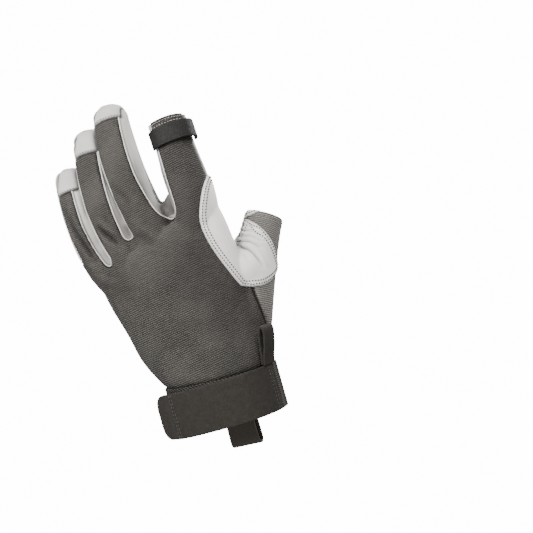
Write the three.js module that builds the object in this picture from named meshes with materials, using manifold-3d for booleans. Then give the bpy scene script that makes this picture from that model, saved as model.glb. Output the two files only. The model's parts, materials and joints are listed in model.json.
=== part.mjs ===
// A climbing glove for the left hand, in millimetres.
// +Z runs up the hand from the wrist to the fingertips, +X points to the thumb side and +Y to the palm,
// so the back of the hand faces -Y. The origin is the middle of the wrist opening.
// The glove has the form that it has on a hand, and it is hollow.

import * as THREE from "three";
import { mergeVertices } from "three/addons/utils/BufferGeometryUtils.js";
import Module from "manifold-3d";

const wasm = await Module();
wasm.setup();

// Driving dimensions

const PALM_LENGTH = 130; // from the wrist opening to the crotches of the fingers
const PALM_WIDTH = 96;
const PALM_DEPTH = 33;
const WRIST_WIDTH = 74;
const WRIST_DEPTH = 51;
const MIDDLE_LENGTH = 90; // of the middle finger, above its crotches
const FINGER_WIDTH = 26; // of the middle finger
const THUMB_WIDTH = 25; // at the open end of the thumb
const THUMB_REACH = 66; // how far the thumb stands out from the hand's axis
const THUMB_HEIGHT = 109; // of the open end of the thumb above the wrist
const THUMB_FORWARD = 33; // of the open end of the thumb in front of the hand's middle plane

const LEATHER = 1.4; // wall of the palm, the finger sides and the thumb
const PATCH_WALL = 1; // the patch is a second layer, sewn on the others
const GAP = 0.3; // between pieces that are sewn together

const CUFF_HEIGHT = 29;
const CUFF_WALL = 2;
const CUFF_TILT = 10; // degrees: the wrist leans from the hand's axis

const STRAP_WIDTH = 30;
const STRAP_THICKNESS = 2;
const STRAP_OVERHANG = 12; // straight free end that leaves the side of the wrist
const STRAP_FROM = 8; // degrees round the wrist from the thumb side towards the palm
const STRAP_TO = -152;
const STRAP_STEP = 8;
const STRAP_TAIL = [-0.83, 0.56]; // the way that the free end points, in the wrist's plane
const STRAP_CORNER = 6;
const STRAP_LIFT = 0.5; // of the strap from the cuff

const LOOP_WIDTH = 19.5;
const LOOP_DROP = 25; // of the hanging loop below the cuff
const LOOP_RUN = 26; // of the strip that is sewn up the cuff
const LOOP_OPENING = 6;
const LOOP_NECK = 0.3; // share of the drop over which the loop opens
const LOOP_ACROSS = -3; // of the loop's middle from the wrist's
const LOOP_RETURN = 0.3; // share of the sewn run that the loop's other end goes up inside the cuff
const WEBBING = 1.6;

const PULL_WIDTH = 9.5;
const PULL_HEIGHT = 26;
const PULL_OPENING = 3.4;
const PULL_TURN = 14; // degrees round the wrist from the thumb side towards the back
const PULL_OUT = 0.6; // of the tab's foot from the middle of the strap
const PULL_FACE = 25; // degrees that the loop is turned towards the back
const PULL_LEAN = 16; // degrees outwards

const TAB_HEIGHT = 12;
const TAB_THICKNESS = 1.5;
const TAB_STAND = 3.2; // how far the tab stands off on the thumb side of the finger
const TAB_SLACK = 0.4;
const TAB_INSET = 5; // from the open end of the finger

const BACK_VIEW = 20; // degrees round +Z: seam lines on the back are drawn in this view
const PALM_VIEW = 160; // and those on the palm in this one

const FINGER_SIDES = 16;
const PALM_SIDES = 28;
const THUMB_SIDES = 20;
const WELD = 1e-3; // corners of a finished piece closer than this are one
const SHAPE_WELD = 1e-4; // and those of a single shape

// Powers of the rounded sections, where 2 is an ellipse and more is squarer.
const PALM_POWER = 2.3;
const FINGER_POWER = 2.2;
const THUMB_POWER = 2.1;

// Sections of the hand from the wrist to the crotches.
// up is a share of PALM_LENGTH, across and wide of PALM_WIDTH (half widths), forward and deep of
// PALM_DEPTH, and tilt of CUFF_TILT. Below them the hand has the cuff's own section.
const PALM_ROWS = [
  { up: 0.31, across: 0.047, forward: 0.045, wide: 0.427, deep: 0.71, tilt: 0.8 },
  { up: 0.42, across: 0.036, forward: 0.1, wide: 0.464, deep: 0.65, tilt: 0.5 },
  { up: 0.58, across: 0.033, forward: 0.09, wide: 0.472, deep: 0.575, tilt: 0.2 },
  { up: 0.755, across: 0.038, forward: 0.05, wide: 0.497, deep: 0.51, tilt: -0.3 },
  { up: 0.87, across: 0.042, forward: 0.03, wide: 0.51, deep: 0.47, tilt: -0.7 },
  { up: 0.94, across: 0.047, forward: 0.03, wide: 0.5, deep: 0.41, tilt: -0.9 },
  { up: 0.975, across: 0.05, forward: 0.03, wide: 0.47, deep: 0.3, tilt: -1 },
];

// across is a share of PALM_WIDTH, root of PALM_LENGTH, length of MIDDLE_LENGTH, width of
// FINGER_WIDTH, and lean, bow and curl of the finger's own length. cap is the share of the length
// at which the leather of the tip ends on the back, or OPEN for a finger that is cut off.
const OPEN = 2;
const FINGERS = {
  pinky: {
    across: -0.385, root: 0.938, length: 0.81, width: 0.85, lean: -0.02, bow: -0.03, curl: 0.22, cap: 0.76,
  },
  ring: {
    across: -0.205, root: 0.98, length: 0.95, width: 0.915, lean: 0.05, bow: -0.03, curl: 0.24, cap: 0.79,
  },
  middle: {
    across: 0.068, root: 1.012, length: 1, width: 1, lean: -0.02, bow: -0.03, curl: 0.25, cap: 0.86,
  },
  index: {
    across: 0.4, root: 1.012, length: 0.665, width: 0.97, lean: 0.09, bow: 0.03, curl: 0.13, cap: OPEN,
  },
};

// Half widths and half depths along a finger, as shares of its width; at is a share of its length.
const CLOSED_ROWS = [
  { at: -0.36, wide: 0.4, deep: 0.36 },
  { at: -0.15, wide: 0.48, deep: 0.45 },
  { at: 0.05, wide: 0.51, deep: 0.48 },
  { at: 0.3, wide: 0.5, deep: 0.475 },
  { at: 0.55, wide: 0.49, deep: 0.465 },
  { at: 0.76, wide: 0.475, deep: 0.44 },
  { at: 0.89, wide: 0.455, deep: 0.4 },
  { at: 0.96, wide: 0.4, deep: 0.32 },
  { at: 1, wide: 0.27, deep: 0.18 },
];
const OPEN_ROWS = [
  { at: -0.5, wide: 0.4, deep: 0.36 },
  { at: -0.2, wide: 0.5, deep: 0.46 },
  { at: 0.1, wide: 0.56, deep: 0.5 },
  { at: 0.35, wide: 0.535, deep: 0.5 },
  { at: 0.7, wide: 0.485, deep: 0.48 },
  { at: 1, wide: 0.485, deep: 0.47 },
];

// Below its root a finger's middle line draws in to the hand's axis by this share of its distance.
const ROOT_DRAW = 0.5;
const CURL_POWER = 1.7; // how late a finger curls towards its tip
const FINGER_FOOT = -0.36; // where a finger starts inside the palm
const FINGER_PAST = 1.15; // past its tip
const OPEN_REACH = 0.1; // of a cutter past an open tip

// Half widths of the knit on a finger's back and of the leather on its front, as shares of its width.
const KNIT_SHARE = 0.34;
const FRONT_SHARE = 0.41;
const BESIDE_SHARE = 0.72; // reaches past the side and the front of the finger

// across is a share of PALM_WIDTH and up of PALM_LENGTH: the bottoms of the crotches.
const CROTCHES = {
  pinky_ring: { from: "pinky", to: "ring", across: -0.294, up: 0.94 },
  ring_middle: { from: "ring", to: "middle", across: -0.085, up: 1.02 },
  middle_index: { from: "middle", to: "index", across: 0.255, up: 1.018 },
};

// The foot of the strip in each crotch, below the crotch's bottom.
const CROTCH_FOOT = { half: 0.05, up: 0.03 };

// The thumb's middle line: across is a share of THUMB_REACH, up of THUMB_HEIGHT, forward of
// THUMB_FORWARD, wide and deep (half sizes) of THUMB_WIDTH, and turn is where its knit side faces,
// in degrees from +X towards +Y.
const THUMB_ROWS = [
  { across: 0.36, up: 0.27, forward: 0.15, wide: 0.5, deep: 0.5, turn: 42 },
  { across: 0.52, up: 0.47, forward: 0.3, wide: 0.74, deep: 0.66, turn: 30 },
  { across: 0.69, up: 0.66, forward: 0.5, wide: 0.68, deep: 0.6, turn: 10 },
  { across: 0.86, up: 0.84, forward: 0.7, wide: 0.56, deep: 0.54, turn: -22 },
  { across: 1.02, up: 1, forward: 1, wide: 0.49, deep: 0.49, turn: -38 },
];

// The pull tab's loop from its sewn foot to its top: up is a share of PULL_HEIGHT, and out of
// PULL_OPENING.
const PULL_ROWS = [
  { up: 0, out: 0.27 },
  { up: 0.2, out: 0.3 },
  { up: 0.5, out: 0.62 },
  { up: 0.8, out: 0.66 },
  { up: 0.92, out: 0.5 },
  { up: 0.97, out: 0.2 },
  { up: 0.975, out: 0 },
];

// The index tab round the finger: turn in degrees from the thumb side towards the palm, and stand is
// a share of TAB_STAND.
const TAB_ROWS = [
  { turn: -142, stand: 0 },
  { turn: -125, stand: 0.1 },
  { turn: -100, stand: 0.1 },
  { turn: -75, stand: 0.15 },
  { turn: -55, stand: 0.4 },
  { turn: -38, stand: 0.8 },
  { turn: -20, stand: 1 },
  { turn: -4, stand: 0.9 },
  { turn: 10, stand: 0.5 },
  { turn: 24, stand: 0 },
];

// Seam lines, as shares of PALM_WIDTH across the view and of PALM_LENGTH up.
const PATCH_BACK_LINE = [
  [0.9, 1.145], [0.566, 1.145], [0.472, 1.075], [0.385, 0.965], [0.361, 0.879], [0.37, 0.79],
  [0.404, 0.684], [0.446, 0.57], [0.524, 0.538], [0.608, 0.53], [0.686, 0.571], [0.723, 0.617],
  [0.75, 0.69], [0.75, 0.765], [0.71, 0.845], [0.655, 0.872], [0.58, 0.88],
];
const PATCH_PALM_LINE = [
  [-0.9, 1.106], [-0.331, 1.1], [-0.108, 0.738], [-0.322, 0.682], [-0.4, 0.66], [-0.62, 0.66],
  [-0.9, 0.9],
];
// Where the patch turns over the thumb side of the palm.
const PATCH_TURN = { across: 0.52, forward: 0.75, up: 0.87 };
const THUMB_BACK_LINE = [
  [0.43, 0.15], [0.45, 0.2], [0.5, 0.39], [0.506, 0.56], [0.6, 0.6], [0.7, 0.7], [0.68, 1.3],
  [1.3, 1.3], [1.3, 0.15],
];
const THUMB_PALM_LINE = [
  [-0.06, 0.12], [-0.1, 0.24], [-0.2, 0.33], [-0.34, 0.44], [-0.46, 0.55], [-0.56, 0.7], [-0.64, 1.05],
  [-1.3, 1.05], [-1.3, 0.12],
];

// Shapes and solids

const rad = THREE.MathUtils.degToRad;
const UP = new THREE.Vector3(0, 0, 1);
const FRONT = new THREE.Vector3(0, 1, 0);

function solid(geometry, weld = SHAPE_WELD) {
  geometry.deleteAttribute("normal");
  geometry.deleteAttribute("uv");
  const merged = mergeVertices(geometry, weld);
  const vertProperties = merged.getAttribute("position").array;
  const triVerts = new Uint32Array(merged.index.array);
  return new wasm.Manifold(new wasm.Mesh({ numProp: 3, vertProperties, triVerts }));
}

function joined(solids) {
  return solids.reduce((sum, next) => sum.add(next));
}

function largest(made) {
  return made.decompose().reduce((best, next) => (next.volume() > best.volume() ? next : best));
}

// A superellipse's share of its half size in one direction.
function spread(share, power) {
  return Math.sign(share) * Math.abs(share) ** (2 / power);
}

// A closed tube through rings: each has a middle, side and front directions, and half sizes.
function loft(rings, sides, power = PALM_POWER) {
  const geometry = new THREE.CylinderGeometry(1, 1, 1, sides, rings.length - 1);
  const position = geometry.getAttribute("position");
  const point = new THREE.Vector3();
  for (let i = 0; i < position.count; i++) {
    point.fromBufferAttribute(position, i);
    const ring = rings[Math.round((point.y + 0.5) * (rings.length - 1))];
    const wide = ring.wide * spread(point.x, power);
    const deep = -ring.deep * spread(point.z, power);
    point.copy(ring.middle).addScaledVector(ring.side, wide).addScaledVector(ring.front, deep);
    position.setXYZ(i, point.x, point.y, point.z);
  }
  return solid(geometry);
}

// A band of four sides through rings, from left to right of the middle and from back to front of it.
function band(rings) {
  const geometry = new THREE.BoxGeometry(2, 1, 2, 1, rings.length - 1, 1);
  const position = geometry.getAttribute("position");
  const point = new THREE.Vector3();
  for (let i = 0; i < position.count; i++) {
    point.fromBufferAttribute(position, i);
    const ring = rings[Math.round((point.y + 0.5) * (rings.length - 1))];
    const across = point.x < 0 ? ring.left : ring.right;
    const deep = point.z > 0 ? ring.back : ring.fore;
    point.copy(ring.middle).addScaledVector(ring.side, across).addScaledVector(ring.front, deep);
    position.setXYZ(i, point.x, point.y, point.z);
  }
  return solid(geometry);
}

// A prism that has its outline in a level view at an azimuth, from one depth to another towards the viewer.
function prism(outline, azimuth, near, far) {
  const shape = new THREE.Shape(outline.map(([across, up]) => new THREE.Vector2(across, up)));
  const geometry = new THREE.ExtrudeGeometry(shape, { depth: far - near, bevelEnabled: false });
  const right = new THREE.Vector3(Math.cos(rad(azimuth)), Math.sin(rad(azimuth)), 0);
  const towards = new THREE.Vector3().crossVectors(right, UP);
  const matrix = new THREE.Matrix4().makeBasis(right, UP, towards);
  geometry.translate(0, 0, near);
  geometry.applyMatrix4(matrix);
  return solid(geometry);
}

function linesOf(shares) {
  return shares.map(([across, up]) => [across * PALM_WIDTH, up * PALM_LENGTH]);
}

// An outline pushed outwards by a distance, corner by corner.
function grown(outline, by) {
  const clockwise = THREE.ShapeUtils.isClockWise(outline.map(([x, y]) => new THREE.Vector2(x, y)));
  const turn = clockwise ? -1 : 1;
  return outline.map((here, i) => {
    const before = outline[(i + outline.length - 1) % outline.length];
    const after = outline[(i + 1) % outline.length];
    const along = new THREE.Vector2(after[0] - before[0], after[1] - before[1]).normalize();
    return [here[0] + turn * along.y * by, here[1] - turn * along.x * by];
  });
}

// Middle lines

const FRAME_STEP = 0.01;

function frameAt(line, at, facing) {
  const middle = line(at);
  const along = line(at + FRAME_STEP).sub(line(at - FRAME_STEP)).normalize();
  const front = facing.clone().addScaledVector(along, -facing.dot(along)).normalize();
  const side = new THREE.Vector3().crossVectors(front, along);
  return { middle, side, front, along };
}

function fingerLine(finger) {
  const length = finger.length * MIDDLE_LENGTH;
  const across = finger.across * PALM_WIDTH;
  const root = finger.root * PALM_LENGTH;
  return (at) =>
    new THREE.Vector3(
      across * (1 + ROOT_DRAW * Math.min(at, 0)) +
        length * (finger.lean * at + 4 * finger.bow * Math.max(at, 0) * (1 - at)),
      length * finger.curl * Math.max(at, 0) ** CURL_POWER,
      root + length * at * (1 - 0.5 * finger.curl * finger.curl),
    );
}

function fingerRings(finger, rows, inset, reach = 0) {
  const line = fingerLine(finger);
  const width = finger.width * FINGER_WIDTH;
  const shorter = rows === CLOSED_ROWS ? inset / (finger.length * MIDDLE_LENGTH) : 0;
  return rows.map((row, i) => {
    const last = i === rows.length - 1;
    const at = (row.at > 0 ? row.at * (1 - shorter) : row.at) + (last ? reach : 0);
    const sizes = { wide: row.wide * width - inset, deep: row.deep * width - inset };
    return { ...frameAt(line, at, FRONT), ...sizes };
  });
}

const thumbPoints = THUMB_ROWS.map(
  (row) => new THREE.Vector3(row.across * THUMB_REACH, row.forward * THUMB_FORWARD, row.up * THUMB_HEIGHT),
);
const thumbCurve = new THREE.CatmullRomCurve3(thumbPoints, false, "centripetal");

function thumbRow(at) {
  const place = at * (THUMB_ROWS.length - 1);
  const low = Math.min(Math.floor(place), THUMB_ROWS.length - 2);
  const part = place - low;
  const between = (name) => THREE.MathUtils.lerp(THUMB_ROWS[low][name], THUMB_ROWS[low + 1][name], part);
  return { wide: between("wide"), deep: between("deep"), turn: between("turn") };
}

const THUMB_STEPS = 7;

function thumbRings(inset, reach = 0) {
  const rings = [];
  for (let i = 0; i <= THUMB_STEPS; i++) {
    const at = i / THUMB_STEPS;
    const { wide, deep, turn } = thumbRow(at);
    const knit = new THREE.Vector3(Math.cos(rad(turn)), Math.sin(rad(turn)), 0);
    const along = thumbCurve.getTangent(at);
    const front = knit.negate().addScaledVector(along, knit.dot(along) * -1).normalize();
    const side = new THREE.Vector3().crossVectors(front, along);
    const middle = thumbCurve.getPoint(at);
    if (i === THUMB_STEPS) middle.addScaledVector(along, reach);
    const sizes = { wide: wide * THUMB_WIDTH - inset, deep: deep * THUMB_WIDTH - inset };
    rings.push({ middle, side, front, along, ...sizes });
  }
  return rings;
}

function tiltedFrame(across, forward, up, degrees) {
  const along = new THREE.Vector3(Math.sin(rad(degrees)), 0, Math.cos(rad(degrees)));
  const side = new THREE.Vector3().crossVectors(FRONT, along);
  return { middle: new THREE.Vector3(across, forward, up), side, front: FRONT.clone(), along };
}

// A ring at a height along the cuff's own axis.
function wristRing(height, inset) {
  const across = height * Math.sin(rad(CUFF_TILT));
  const up = height * Math.cos(rad(CUFF_TILT));
  return {
    ...tiltedFrame(across, 0, up, CUFF_TILT),
    wide: WRIST_WIDTH / 2 - inset,
    deep: WRIST_DEPTH / 2 - inset,
  };
}

function palmRings(inset, start) {
  const rings = PALM_ROWS.map((row, i) => {
    const lower = i === PALM_ROWS.length - 1 ? inset : 0;
    return {
      ...tiltedFrame(
        row.across * PALM_WIDTH, row.forward * PALM_DEPTH, row.up * PALM_LENGTH - lower,
        row.tilt * CUFF_TILT,
      ),
      wide: row.wide * PALM_WIDTH - inset,
      deep: row.deep * PALM_DEPTH - inset,
    };
  });
  return [...start.map((height) => wristRing(height, inset)), ...rings];
}

// The whole skin of the glove, solid, at a distance inside its outer face. With open set, it also
// reaches out of the wrist, the thumb and the open finger.

// The web between thumb and palm, and the round filling under each crotch of the fingers, in the
// same shares as PALM_ROWS. rise is how far the filling stands above the crotch's seam.
const WEB = { across: 0.5, forward: 0.42, up: 0.63, wide: 0.13, deep: 0.45, high: 0.125 };
const CROTCH_LUMP = { forward: 0.03, wide: 0.075, deep: 0.26, high: 0.1, rise: 0.018 };

function lump(across, forward, up, wide, deep, high, inset) {
  const geometry = new THREE.SphereGeometry(1, 12, 8);
  geometry.scale(wide - inset, deep - inset, high - inset);
  geometry.translate(across, forward, up);
  return solid(geometry);
}

function body(inset, open) {
  const start = open ? [-CUFF_HEIGHT, CUFF_HEIGHT] : [CUFF_HEIGHT + GAP];
  const parts = [loft(palmRings(inset, start), PALM_SIDES)];
  for (const finger of Object.values(FINGERS)) {
    const rows = finger.cap === OPEN ? OPEN_ROWS : CLOSED_ROWS;
    const reach = open && finger.cap === OPEN ? OPEN_REACH : 0;
    parts.push(loft(fingerRings(finger, rows, inset, reach), FINGER_SIDES, FINGER_POWER));
  }
  parts.push(loft(thumbRings(inset, open ? LEATHER * 3 : 0), THUMB_SIDES, THUMB_POWER));
  parts.push(
    lump(
      WEB.across * PALM_WIDTH, WEB.forward * PALM_DEPTH, WEB.up * PALM_LENGTH,
      WEB.wide * PALM_WIDTH, WEB.deep * PALM_DEPTH, WEB.high * PALM_LENGTH, inset,
    ),
  );
  for (const crotch of Object.values(CROTCHES)) {
    const high = CROTCH_LUMP.high * PALM_LENGTH;
    parts.push(
      lump(
        crotch.across * PALM_WIDTH, CROTCH_LUMP.forward * PALM_DEPTH,
        (crotch.up + CROTCH_LUMP.rise) * PALM_LENGTH - high,
        CROTCH_LUMP.wide * PALM_WIDTH, CROTCH_LUMP.deep * PALM_DEPTH, high, inset,
      ),
    );
  }
  return joined(parts);
}

const FAR = 2 * PALM_LENGTH;
const outer = body(0, false);
const inner = body(LEATHER, true);
const shell = outer.subtract(inner);

// Regions of the panels, each grown by a distance.

// Everything behind a surface that follows the middle of the palm up the hand.
function behindPalm(grow) {
  const rings = [{ up: 0, forward: 0 }, ...PALM_ROWS, { up: 1.3, forward: 0.03 }].map((row) => ({
    middle: new THREE.Vector3(0, row.forward * PALM_DEPTH, row.up * PALM_LENGTH),
    side: new THREE.Vector3(1, 0, 0),
    front: FRONT,
    left: -PALM_WIDTH,
    right: PALM_WIDTH,
    back: -PALM_WIDTH,
    fore: grow,
  }));
  return band(rings);
}

// Everything behind the thumb's middle line.
function behindThumb(grow) {
  const thumb = thumbRings(0, THUMB_WIDTH);
  const below = { middle: new THREE.Vector3(0, thumb[0].middle.y, -CUFF_HEIGHT) };
  const rings = [below, ...thumb].map((ring) => ({
    middle: new THREE.Vector3(0, ring.middle.y, ring.middle.z),
    side: new THREE.Vector3(1, 0, 0),
    front: FRONT,
    left: -PALM_WIDTH,
    right: 2 * PALM_WIDTH,
    back: -PALM_WIDTH,
    fore: grow,
  }));
  return band(rings);
}

// A band that follows a finger, from one share of its length to another.
function fingerBand(finger, left, right, back, fore, first, last) {
  const line = fingerLine(finger);
  const rings = [];
  const steps = FINGER_SIDES / 2;
  for (let i = 0; i <= steps; i++) {
    const at = THREE.MathUtils.lerp(first, last, i / steps);
    rings.push({ ...frameAt(line, at, FRONT), left, right, back, fore });
  }
  return band(rings);
}

const knitOutline = [
  [-PALM_WIDTH, 0],
  [PALM_WIDTH, 0],
  [PALM_WIDTH, CROTCHES.middle_index.up * PALM_LENGTH],
  ...Object.values(CROTCHES).reverse().map(({ across, up }) => [across * PALM_WIDTH, up * PALM_LENGTH]),
  [-PALM_WIDTH, CROTCHES.pinky_ring.up * PALM_LENGTH],
];

function knitRegion(grow) {
  const parts = [prism(grown(knitOutline, grow), 0, -FAR, FAR).intersect(behindPalm(grow))];
  for (const [name, finger] of Object.entries(FINGERS)) {
    const half = finger.width * FINGER_WIDTH * KNIT_SHARE + grow;
    const reach = finger.width * FINGER_WIDTH * BESIDE_SHARE;
    const right = name === "index" ? reach : half;
    const last = finger.cap === OPEN ? FINGER_PAST : finger.cap;
    const end = last + grow / MIDDLE_LENGTH;
    parts.push(fingerBand(finger, -half, right, -reach, grow, FINGER_FOOT, end));
  }
  return joined(parts);
}

function frontRegion(grow) {
  const parts = [];
  for (const [name, finger] of Object.entries(FINGERS)) {
    const width = finger.width * FINGER_WIDTH;
    const half = width * FRONT_SHARE + grow;
    const tipHalf = width * KNIT_SHARE + grow;
    const beside = width * BESIDE_SHARE;
    const right = name === "index" ? beside : half;
    parts.push(fingerBand(finger, -half, right, -grow, beside, 0, FINGER_PAST));
    if (finger.cap !== OPEN) {
      const start = finger.cap - grow / MIDDLE_LENGTH;
      parts.push(fingerBand(finger, -tipHalf, tipHalf, -width, width, start, FINGER_PAST));
    }
  }
  return joined(parts);
}

// Between the middle lines of two neighbouring fingers, above their crotch.
function betweenFingers({ from, to, across, up }, grow) {
  const sides = [FINGERS[from], FINGERS[to]].map(fingerLine);
  const steps = [0, 0.25, 0.5, 0.75, 1.05];
  const low = (up - CROTCH_FOOT.up) * PALM_LENGTH - grow;
  const left = steps.map((at) => sides[0](at)).map(({ x, z }) => [x, z]);
  const right = steps.map((at) => sides[1](at)).map(({ x, z }) => [x, z]).reverse();
  const middle = across * PALM_WIDTH;
  const half = CROTCH_FOOT.half * PALM_WIDTH + grow;
  const outline = [[middle - half, low], ...left, ...right, [middle + half, low]];
  return prism(outline, 0, -FAR, FAR);
}

function besidePinky(grow) {
  const line = fingerLine(FINGERS.pinky);
  const width = FINGERS.pinky.width * FINGER_WIDTH;
  const points = [0.1, 0.3, 0.5, 0.75, 1.05].map((at) => line(at)).map(({ x, z }) => [x, z]);
  const low = line(-0.12);
  const outline = [[low.x - width, low.z - grow], ...points, [line(1.05).x - width, line(1.05).z]];
  return prism(outline, 0, -FAR, FAR);
}

// A block from the hand's middle plane, to the thumb side of a place and above a height.
function block(left, right, fore, low) {
  const geometry = new THREE.BoxGeometry(right - left, fore, FAR);
  geometry.translate((left + right) / 2, fore / 2, low + FAR / 2);
  return solid(geometry);
}

function patchRegion() {
  const back = prism(linesOf(PATCH_BACK_LINE), BACK_VIEW, -FAR, FAR);
  const palm = prism(linesOf(PATCH_PALM_LINE), PALM_VIEW, -FAR, FAR);
  const beside = PATCH_TURN.across * PALM_WIDTH;
  const fore = PATCH_TURN.forward * PALM_DEPTH;
  const thumbSide = new THREE.BoxGeometry(FAR, FAR, FAR);
  thumbSide.translate(beside + FAR / 2, 0, FAR / 2);
  const behind = behindPalm(0).add(behindThumb(0).intersect(solid(thumbSide)));
  const near = block(0, beside + GAP, fore, 0).add(block(0, PALM_WIDTH, fore, PATCH_TURN.up * PALM_LENGTH));
  return back.intersect(behind).add(palm.intersect(near));
}

function thumbRegion(grow) {
  const back = prism(grown(linesOf(THUMB_BACK_LINE), grow), BACK_VIEW, -FAR, FAR);
  const palm = prism(grown(linesOf(THUMB_PALM_LINE), grow), PALM_VIEW, -FAR, FAR);
  const behind = behindThumb(0);
  return back.intersect(behind).add(palm.subtract(behind));
}

// Panels

const patchLayer = body(-GAP - PATCH_WALL, false).subtract(body(-GAP, false));
const patch = largest(patchLayer.intersect(patchRegion()));
const thumbBack = largest(shell.intersect(thumbRegion(0)));
const thumbCut = thumbRegion(GAP);
const backPanel = largest(shell.intersect(knitRegion(0)).subtract(thumbCut));
const knitCut = knitRegion(GAP);

const sidePieces = {};
let sideCut = null;
for (const [name, crotch] of Object.entries(CROTCHES)) {
  const region = betweenFingers(crotch, 0).subtract(frontRegion(GAP));
  sidePieces["fourchette_" + name] = largest(shell.intersect(region).subtract(knitCut));
  const cut = betweenFingers(crotch, GAP).subtract(frontRegion(0));
  sideCut = sideCut ? sideCut.add(cut) : cut;
}
sidePieces.pinky_side = largest(
  shell.intersect(besidePinky(0).subtract(frontRegion(GAP))).subtract(knitCut),
);
sideCut = sideCut.add(besidePinky(GAP).subtract(frontRegion(0)));

const palmPanel = largest(shell.subtract(knitCut).subtract(sideCut).subtract(thumbCut));

// Cuff, strap, loops and tabs

const cuff = loft([wristRing(0, 0), wristRing(CUFF_HEIGHT, 0)], PALM_SIDES).subtract(
  loft([wristRing(-GAP, CUFF_WALL), wristRing(CUFF_HEIGHT + GAP, CUFF_WALL)], PALM_SIDES),
);

// A point of the wrist's outline, pushed out by a distance; 0 degrees is the thumb side and 90 the palm.
function wristPoint(degrees, out) {
  const x = spread(Math.cos(rad(degrees)), PALM_POWER);
  const y = spread(Math.sin(rad(degrees)), PALM_POWER);
  return new THREE.Vector2(x * (WRIST_WIDTH / 2 + out), y * (WRIST_DEPTH / 2 + out));
}

// Places a shape that is drawn in the wrist's own plane and extruded up the cuff.
function onWrist(geometry, height) {
  const { middle, side, front, along } = wristRing(height, 0);
  geometry.applyMatrix4(new THREE.Matrix4().makeBasis(side, front, along).setPosition(middle));
  return solid(geometry);
}

const CLEAR = 4 * WRIST_WIDTH; // a cutter's reach past the wrist

function strapSolid() {
  const inside = [];
  const outside = [];
  for (let degrees = STRAP_FROM; degrees >= STRAP_TO; degrees -= STRAP_STEP) {
    inside.push(wristPoint(degrees, STRAP_LIFT));
    outside.push(wristPoint(degrees, STRAP_LIFT + STRAP_THICKNESS));
  }
  const tail = new THREE.Vector2(...STRAP_TAIL).multiplyScalar(STRAP_OVERHANG);
  inside.push(inside.at(-1).clone().add(tail));
  outside.push(outside.at(-1).clone().add(tail));
  const shape = new THREE.Shape([...inside, ...outside.reverse()]);
  const rise = (CUFF_HEIGHT - STRAP_WIDTH) / 2;
  const bent = new THREE.ExtrudeGeometry(shape, { depth: STRAP_WIDTH, bevelEnabled: false });
  const whole = onWrist(bent, rise);
  const end = Math.min(...inside.map((point) => point.x)) - STRAP_THICKNESS / 2;
  const face = new THREE.Shape();
  face.moveTo(CLEAR, 0);
  face.lineTo(CLEAR, STRAP_WIDTH);
  face.lineTo(end + STRAP_CORNER, STRAP_WIDTH);
  face.quadraticCurveTo(end, STRAP_WIDTH, end, STRAP_WIDTH - STRAP_CORNER);
  face.lineTo(end, STRAP_CORNER);
  face.quadraticCurveTo(end, 0, end + STRAP_CORNER, 0);
  const settings = { depth: 2 * CLEAR, bevelEnabled: false, curveSegments: 4 };
  const geometry = new THREE.ExtrudeGeometry(face, settings);
  geometry.rotateX(Math.PI / 2);
  geometry.translate(0, CLEAR, 0);
  return whole.intersect(onWrist(geometry, rise));
}

// The outline of a strip of some thickness along a middle line.
function stripShape(points, thickness) {
  const curve = points.map(([x, y]) => new THREE.Vector2(x, y));
  const offset = (sign) =>
    curve.map((point, i) => {
      const next = curve[Math.min(i + 1, curve.length - 1)];
      const along = next.clone().sub(curve[Math.max(i - 1, 0)]).normalize();
      return new THREE.Vector2(point.x - along.y * sign, point.y + along.x * sign);
    });
  return new THREE.Shape([...offset(thickness / 2), ...offset(-thickness / 2).reverse()]);
}

// Webbing that is sewn up the cuff, hangs down in a loop and comes back inside the cuff.
function clipLoopSolid() {
  const outside = WRIST_DEPTH / 2 + GAP + WEBBING / 2;
  const inside = WRIST_DEPTH / 2 - CUFF_WALL - 5 * GAP - WEBBING / 2;
  const middle = (outside + inside) / 2;
  const half = (LOOP_OPENING + WEBBING) / 2;
  const points = [[outside, LOOP_RUN], [outside, 0], [middle + half, -LOOP_NECK * LOOP_DROP]];
  const bottom = -LOOP_DROP + half + WEBBING / 2;
  for (let turn = 0; turn <= 180; turn += 30) {
    points.push([middle + half * Math.cos(rad(turn)), bottom - half * Math.sin(rad(turn))]);
  }
  points.push([middle - half, -LOOP_NECK * LOOP_DROP], [inside, 0], [inside, LOOP_RUN * LOOP_RETURN]);
  const shape = stripShape(points, WEBBING);
  const geometry = new THREE.ExtrudeGeometry(shape, { depth: LOOP_WIDTH, bevelEnabled: false });
  // The outline's x is the wrist's front and its y the wrist's axis.
  geometry.applyMatrix4(new THREE.Matrix4().makeBasis(FRONT, UP, new THREE.Vector3(1, 0, 0)));
  geometry.translate(LOOP_ACROSS - LOOP_WIDTH / 2, 0, 0);
  return onWrist(geometry, 0);
}

// A short strip folded into a loop, its ends sewn together in the top edge of the strap.
function pullTabSolid() {
  const points = [];
  for (const { up, out } of PULL_ROWS) points.push([-out * PULL_OPENING, up * PULL_HEIGHT]);
  for (const [x, y] of points.slice(0, -1).reverse()) points.push([-x, y]);
  const shape = stripShape(points, WEBBING);
  const geometry = new THREE.ExtrudeGeometry(shape, { depth: PULL_WIDTH, bevelEnabled: false });
  geometry.translate(0, 0, -PULL_WIDTH / 2);
  geometry.rotateX(Math.PI / 2);
  geometry.rotateY(rad(PULL_LEAN));
  geometry.rotateZ(rad(-PULL_FACE));
  const foot = wristPoint(-PULL_TURN, STRAP_LIFT + STRAP_THICKNESS / 2 + PULL_OUT);
  geometry.translate(foot.x, foot.y, 0);
  return onWrist(geometry, (CUFF_HEIGHT + STRAP_WIDTH) / 2 + GAP);
}

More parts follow.
